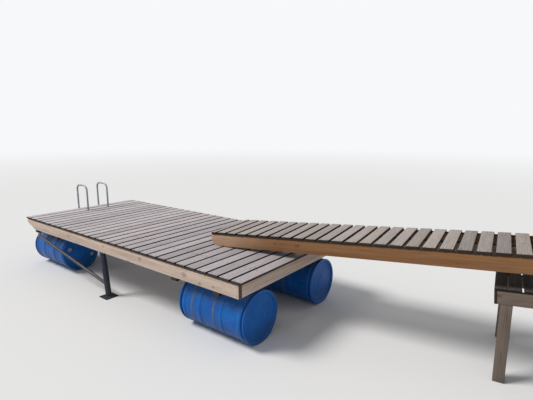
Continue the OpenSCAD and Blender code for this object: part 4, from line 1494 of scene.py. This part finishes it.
def leg_ring(z, radius=LEG_R, sides=72):
    """Where the leg's tube meets a level plane: each point of a circle square to the axis is
    slid along the axis to the plane's height."""
    ring = radius * circle(around(sides), np.array([math.cos(RAKE), 0.0, math.sin(RAKE)]), ACROSS)
    return ring + leg_way * ((z - ring[:, 2]) / leg_way[2])[:, None]


for name, spot in zip(("near_leg", "far_leg"), LEG_SPOTS):
    leg = Forms()
    leg.add(np.array([leg_ring(z) for z in np.linspace(leg_low[2], leg_high[2], 9)]), origins=spot)
    finish_piece(name + "_tube", leg, shade_dark_leg_steel, "galvanised_steel", name)


# %% Weld beads at the legs and braces
BRACE_R = 0.021
BRACE_FOOT_Z = 0.166
BRACE_DROP = 0.066
# How far the middle of a bead stands off a plate and off a tube
BEAD_OFF_PLATE = 0.0015
BEAD_OFF_TUBE = 0.0012
brace_foot = np.array([-BRACE_FOOT_Z * math.tan(RAKE), 0.0, BRACE_FOOT_Z])
bearer_low, _ = corners("lake_bearers")
brace_head = np.array([bearer_low[0] + BEARER_W / 2, 0.0, bearer_low[2] - BRACE_DROP])
brace_way = unit(brace_head - brace_foot)


def bead(path, across_way, size=0.0032, closed=True):
    """A weld bead: a bar whose radius ripples a few times per centimetre."""
    step = np.arange(len(path))
    ripple = 1 + 0.14 * np.sin(step * 2.1) + 0.06 * np.sin(step * 0.7)
    return tube(path, size * ripple, across_way, 8, closed)


def saddle(sides=64):
    """Where the brace's tube meets the leg's: for each line along the brace's wall, the first
    place at the leg's radius from the leg's axis, from the quadratic for that distance."""
    start = brace_foot + BRACE_R * circle(around(sides), ACROSS, np.cross(brace_way, ACROSS))
    start_off = start - (start @ leg_way)[:, None] * leg_way
    way_off = brace_way - (brace_way @ leg_way) * leg_way
    a = way_off @ way_off
    b = 2 * start_off @ way_off
    c = (start_off ** 2).sum(1) - LEG_R ** 2
    s = (-b + np.sqrt(b ** 2 - 4 * a * c)) / (2 * a)
    return start + s[:, None] * brace_way


welds = Forms()
for z in (leg_low[2] + BEAD_OFF_PLATE, leg_high[2] - BEAD_OFF_PLATE):
    welds.add(bead(leg_ring(z, LEG_R + BEAD_OFF_TUBE), UP), origins=LEG_SPOTS, closed=True)
welds.add(bead(saddle(), brace_way), origins=LEG_SPOTS, closed=True)
print("brace length", np.linalg.norm(brace_head - brace_foot))


# %% [markdown]
# ## The ladder
# Each side of the swim ladder is one bent tube: up from its flange on the deck, over in
# two quarter bends, and down past the end of the deck to a rubber cap. A bevelled curve
# would do for the bends, but rings along a path stay closed at both ends and can draw in
# where the cap sits over them. The treads are pressed plates with ribs for grip, welded
# between the side tubes.

# %% Sizes of the ladder, and the path of a rail
LADDER_R = 0.015
FLANGE_T = 0.005
FLANGE_SCREWS_AT = 0.031
RAIL_BEND = 0.090
LADDER_LOW = 0.040
CAP_TOP = 0.0225
CAPPED_R = 0.0142
rail_low, rail_high = corners("near_ladder_rail")
far_rail_low, far_rail_high = corners("far_ladder_rail")
RAIL_YS = ((rail_low[1] + rail_high[1]) / 2, (far_rail_low[1] + far_rail_high[1]) / 2)
FLANGE_R = (rail_high[1] - rail_low[1]) / 2
FLANGE_OUTLINE = ((0.0, 0.0145), (0.0, FLANGE_R - 0.0006), (0.0006, FLANGE_R),
                  (FLANGE_T - 0.001, FLANGE_R), (FLANGE_T, FLANGE_R - 0.001), (FLANGE_T, 0.0145))
CAP_OUTLINE = ((0.0, 0.006), (0.0, 0.0135), (0.0015, 0.0148), (CAP_TOP - 0.0015, 0.0150),
               (CAP_TOP, 0.0146), (CAP_TOP, 0.010))
UPRIGHT = (UP, (1, 0, 0), (0, 1, 0))
rail_inner_x = rail_high[0] - FLANGE_R
rail_outer_x = rail_low[0] + LADDER_R


def level_arc(x, y, z, radius, turn):
    """Points of a level circle, or of a part of it, round an upright tube."""
    return (x, y, z) + radius * circle(turn, np.array([1.0, 0.0, 0.0]), ACROSS)


def rail_path():
    """The tube's middle line: straight up, a quarter bend, level, a second bend, and down."""
    bend_z = rail_high[2] - LADDER_R - RAIL_BEND
    cap_z = LADDER_LOW + CAP_TOP
    bend = np.linspace(0, np.pi / 2, 13)
    across_in, rising = RAIL_BEND * np.cos(bend), RAIL_BEND * np.sin(bend)
    up_z = np.linspace(deck_high[2] + 0.0005, bend_z, 6)
    down_z = np.append(np.linspace(bend_z, cap_z + 0.006, 14)[1:], [cap_z + 0.002, cap_z - 0.010])
    x = [np.full(6, rail_inner_x), rail_inner_x - RAIL_BEND + across_in[1:],
         rail_outer_x + RAIL_BEND - rising, np.full(len(down_z), rail_outer_x)]
    z = [up_z, bend_z + rising[1:], bend_z + across_in, down_z]
    x, z = np.concatenate(x), np.concatenate(z)
    return np.stack([x, np.zeros(len(x)), z], -1)


line = rail_path()
print("tube in one rail", np.linalg.norm(np.diff(line, axis=0), axis=1).sum())

# %% Ladder rails, flanges and end caps
rail_radius = np.where(line[:, 2] < LADDER_LOW + CAP_TOP + 0.004, CAPPED_R, LADDER_R)
caps = Forms()
for side, y in zip(("near", "far"), RAIL_YS):
    flange_at = (rail_inner_x, y, deck_high[2])
    rail = Forms()
    rail.add(tube(line, rail_radius, ACROSS, 32), origins=(0, y, 0))
    rail.add(turned(FLANGE_OUTLINE, 64), UPRIGHT, flange_at, closed=True)
    finish_piece(side + "_rail", rail, ladder_steel, "ladder_steel", side + "_ladder_rail")
    caps.add(turned(CAP_OUTLINE, 32), UPRIGHT, (rail_outer_x, y, LADDER_LOW))
    collar = level_arc(*flange_at, 1.06 * LADDER_R, around(48)) + (0, 0, FLANGE_T + 0.001)
    welds.add(bead(collar, UP, 0.0024), closed=True)
    for at in level_arc(*flange_at, FLANGE_SCREWS_AT, np.radians([45, 135, 225, 315])):
        drive_screw(at + (0, 0, FLANGE_T), UP)
finish_piece("rail_caps", caps, cap_rubber, "bung_plastic")

# %% Grip ribs and welds of the treads
tread_low, tread_high = corners("ladder_treads")
TREADS = 3
TREAD_STEP = 0.225
RIB_R = 0.0014
RIB_INSET = 0.012
RIB_END_GAP = 0.004
ribs = Forms()
rib_ys = np.linspace(RAIL_YS[0] + LADDER_R + RIB_END_GAP, RAIL_YS[1] - LADDER_R - RIB_END_GAP, 5)
for tread_top in tread_high[2] - TREAD_STEP * np.arange(TREADS):
    for x in np.linspace(tread_low[0] + RIB_INSET, tread_high[0] - RIB_INSET, 5):
        ribs.add(tube([(x, y, tread_top) for y in rib_ys], RIB_R, UP, 8))
    for y, side in zip(RAIL_YS, (1, -1)):
        arc = np.linspace(-1.1, 1.1, 20) + side * np.pi / 2
        joint = level_arc(rail_outer_x, y, tread_top - 0.0005, 1.05 * LADDER_R, arc)
        welds.add(bead(joint, UP, 0.0022, closed=False))
finish_piece("tread_ribs", ribs, ladder_steel, "ladder_steel")
finish_piece("weld_beads", welds, weld_steel, "galvanised_steel")


# %% [markdown]
# ## Bolts, and the screws that were noted
# Hexagon heads on washers hold the leg plates to the side beams and the hangers to the
# bearer. A washer and its head could be two cylinders; as one turned outline, part of
# which follows a hexagon, they are one form. Last come all the screws, as one piece.

# %% Hexagon bolts
HEX_R = 0.0088
PLATE_T = 0.008
LEG_BOLT_ASIDE = 0.064
HANGER_BOLT_INSET = 0.016
HANGER_BOLT_IN = 0.050
DOWNWARD = ((0, 0, -1), (1, 0, 0), (0, 1, 0))


def hexagon_bolt():
    """A washer and a hexagon head on one axis, x. The head's outline divides the radius by the
    cosine of the angle from the middle of the nearest side."""
    turn = around(24)
    six = 1 / np.cos((turn + np.pi / 6) % (np.pi / 3) - np.pi / 6)
    bands = np.array([(-0.001, 0.004, 0), (0.0, 0.0125, 0), (0.0018, 0.0125, 0), (0.0018, HEX_R, 1),
                      (0.0066, HEX_R, 1), (0.0074, 0.92 * HEX_R, 0), (0.0074, 0.003, 0)])
    t, radius, hexed = bands.T[:, :, None]
    return on_axis(t, radius * np.where(hexed, six, 1.0), turn)


plate_low, plate_high = corners("leg_top_plates")
hanger_low, hanger_high = corners("brace_hangers")
leg_top_x = (plate_low[0] + plate_high[0]) / 2
hanger_aside = (hanger_high[0] - hanger_low[0]) / 2 - HANGER_BOLT_INSET
bolt_spots = [(leg_top_x + side * LEG_BOLT_ASIDE, y, plate_low[2])
              for side in (-1, 1) for y in side_beam_middles]
bolt_spots += [(brace_head[0] + side * hanger_aside, y, bearer_low[2] - PLATE_T)
               for side in (-1, 1) for y in (HANGER_BOLT_IN, 2 * CENTRE_Y - HANGER_BOLT_IN)]
bolts = Forms()
bolts.add(hexagon_bolt(), DOWNWARD, bolt_spots)
finish_piece("plate_bolts", bolts, bolt_steel, "bolt_steel")

screws = Forms()
screws.add(screw_head(), screw_axes, screw_places)
finish_piece("board_screws", screws, bolt_steel, "bolt_steel")
print("screws", len(screw_places))


# %% [markdown]
# ## Nodes that keep their own shape
# The braces, plates, hangers, through bolts and treads are right as they are in the solid
# model. They only need a finish, so their material slots are filled.

# %% CAD nodes that only get a better finish
BETTER_FINISH = {"leg_foot_plates": shade_dark_leg_steel, "near_brace": shade_dark_brace_steel, "far_brace": shade_dark_brace_steel,
                 "leg_top_plates": plate_steel, "brace_hangers": plate_steel,
                 "brace_bolts": bolt_steel, "ladder_treads": ladder_steel}
for name, material in BETTER_FINISH.items():
    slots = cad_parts[name].data.materials
    slots.clear()
    slots.append(material)
print("dressed nodes", len(BETTER_FINISH))


# %% [markdown]
# ## Floor and light
# A pale floor fades into a pale surround. A picture wrapped round the scene could light
# the jetty, but it would tint every finish. One wide, soft sun stands halfway up on the
# lake side, where it stood in the photograph, and even light from all round fills the
# shadows. Together they light a level surface so that a colour shows about as it is
# written.

# %% The floor
FLOOR_REACH = 90.0
HAZE_FROM = 9.0
HAZE_TO = 40.0
SHOWN = (0.93, 0.94, 0.95)
square = [(FLOOR_REACH * x, FLOOR_REACH * y, 0) for x, y in ((-1, -1), (1, -1), (1, 1), (-1, 1))]
floor_mesh = bpy.data.meshes.new("floor")
floor_mesh.from_pydata(square, [], [(0, 1, 2, 3)])
floor = new_object("floor", floor_mesh)
floor_material, tree, shader = start_material("floor")
fill(shader.inputs["Base Color"], (0.80, 0.80, 0.80))
fill(shader.inputs["Roughness"], 0.9)
fill(shader.inputs["Specular IOR Level"], 0.1)
far_off = abs(object_point(tree)).ramp(HAZE_FROM, HAZE_TO)
haze = add(tree, "ShaderNodeEmission", {"Color": SHOWN, "Strength": 1.0})
blend = add(tree, "ShaderNodeMixShader", {0: far_off, 1: Flow(shader.outputs[0]), 2: haze})
fill(next(node for node in tree.nodes if node.type == "OUTPUT_MATERIAL").inputs["Surface"], blend)
floor_mesh.materials.append(floor_material)
print("floor", 2 * FLOOR_REACH, "metres wide")

# %% The surround and the sun
ROUND_STRENGTH = 0.42
ROUND_COLOUR = (0.95, 0.97, 1.0)
SUN_FROM = (-0.62, -0.55, 0.95)
SUN_STRENGTH = 2.45
SUN_ANGLE = 20.0
SUN_COLOUR = (1.0, 0.98, 0.95)
world = bpy.data.worlds.new("surround")
bpy.context.scene.world = world
world.use_nodes = True
tree = world.node_tree
tree.nodes.clear()
rays = ("Is Camera Ray", "Is Glossy Ray", "Is Transmission Ray")
seen = reduce(Flow.at_least, add(tree, "ShaderNodeLightPath", take=rays))
lit = add(tree, "ShaderNodeBackground", {"Color": ROUND_COLOUR, "Strength": ROUND_STRENGTH})
shown = add(tree, "ShaderNodeBackground", {"Color": SHOWN, "Strength": 1.0})
surround = add(tree, "ShaderNodeMixShader", {0: seen, 1: lit, 2: shown})
fill(tree.nodes.new("ShaderNodeOutputWorld").inputs["Surface"], surround)

sun_data = bpy.data.lights.new("sun", "SUN")
sun_data.energy = SUN_STRENGTH
sun_data.angle = math.radians(SUN_ANGLE)
sun_data.color = SUN_COLOUR
back = unit(np.array(SUN_FROM))
right = unit(np.cross(UP, back))
stand(new_object("sun", sun_data), right, np.cross(back, right), back)
print("the sun stands at", math.degrees(math.asin(back[2])), "degrees")

bpy.context.scene.view_settings.view_transform = "Standard"
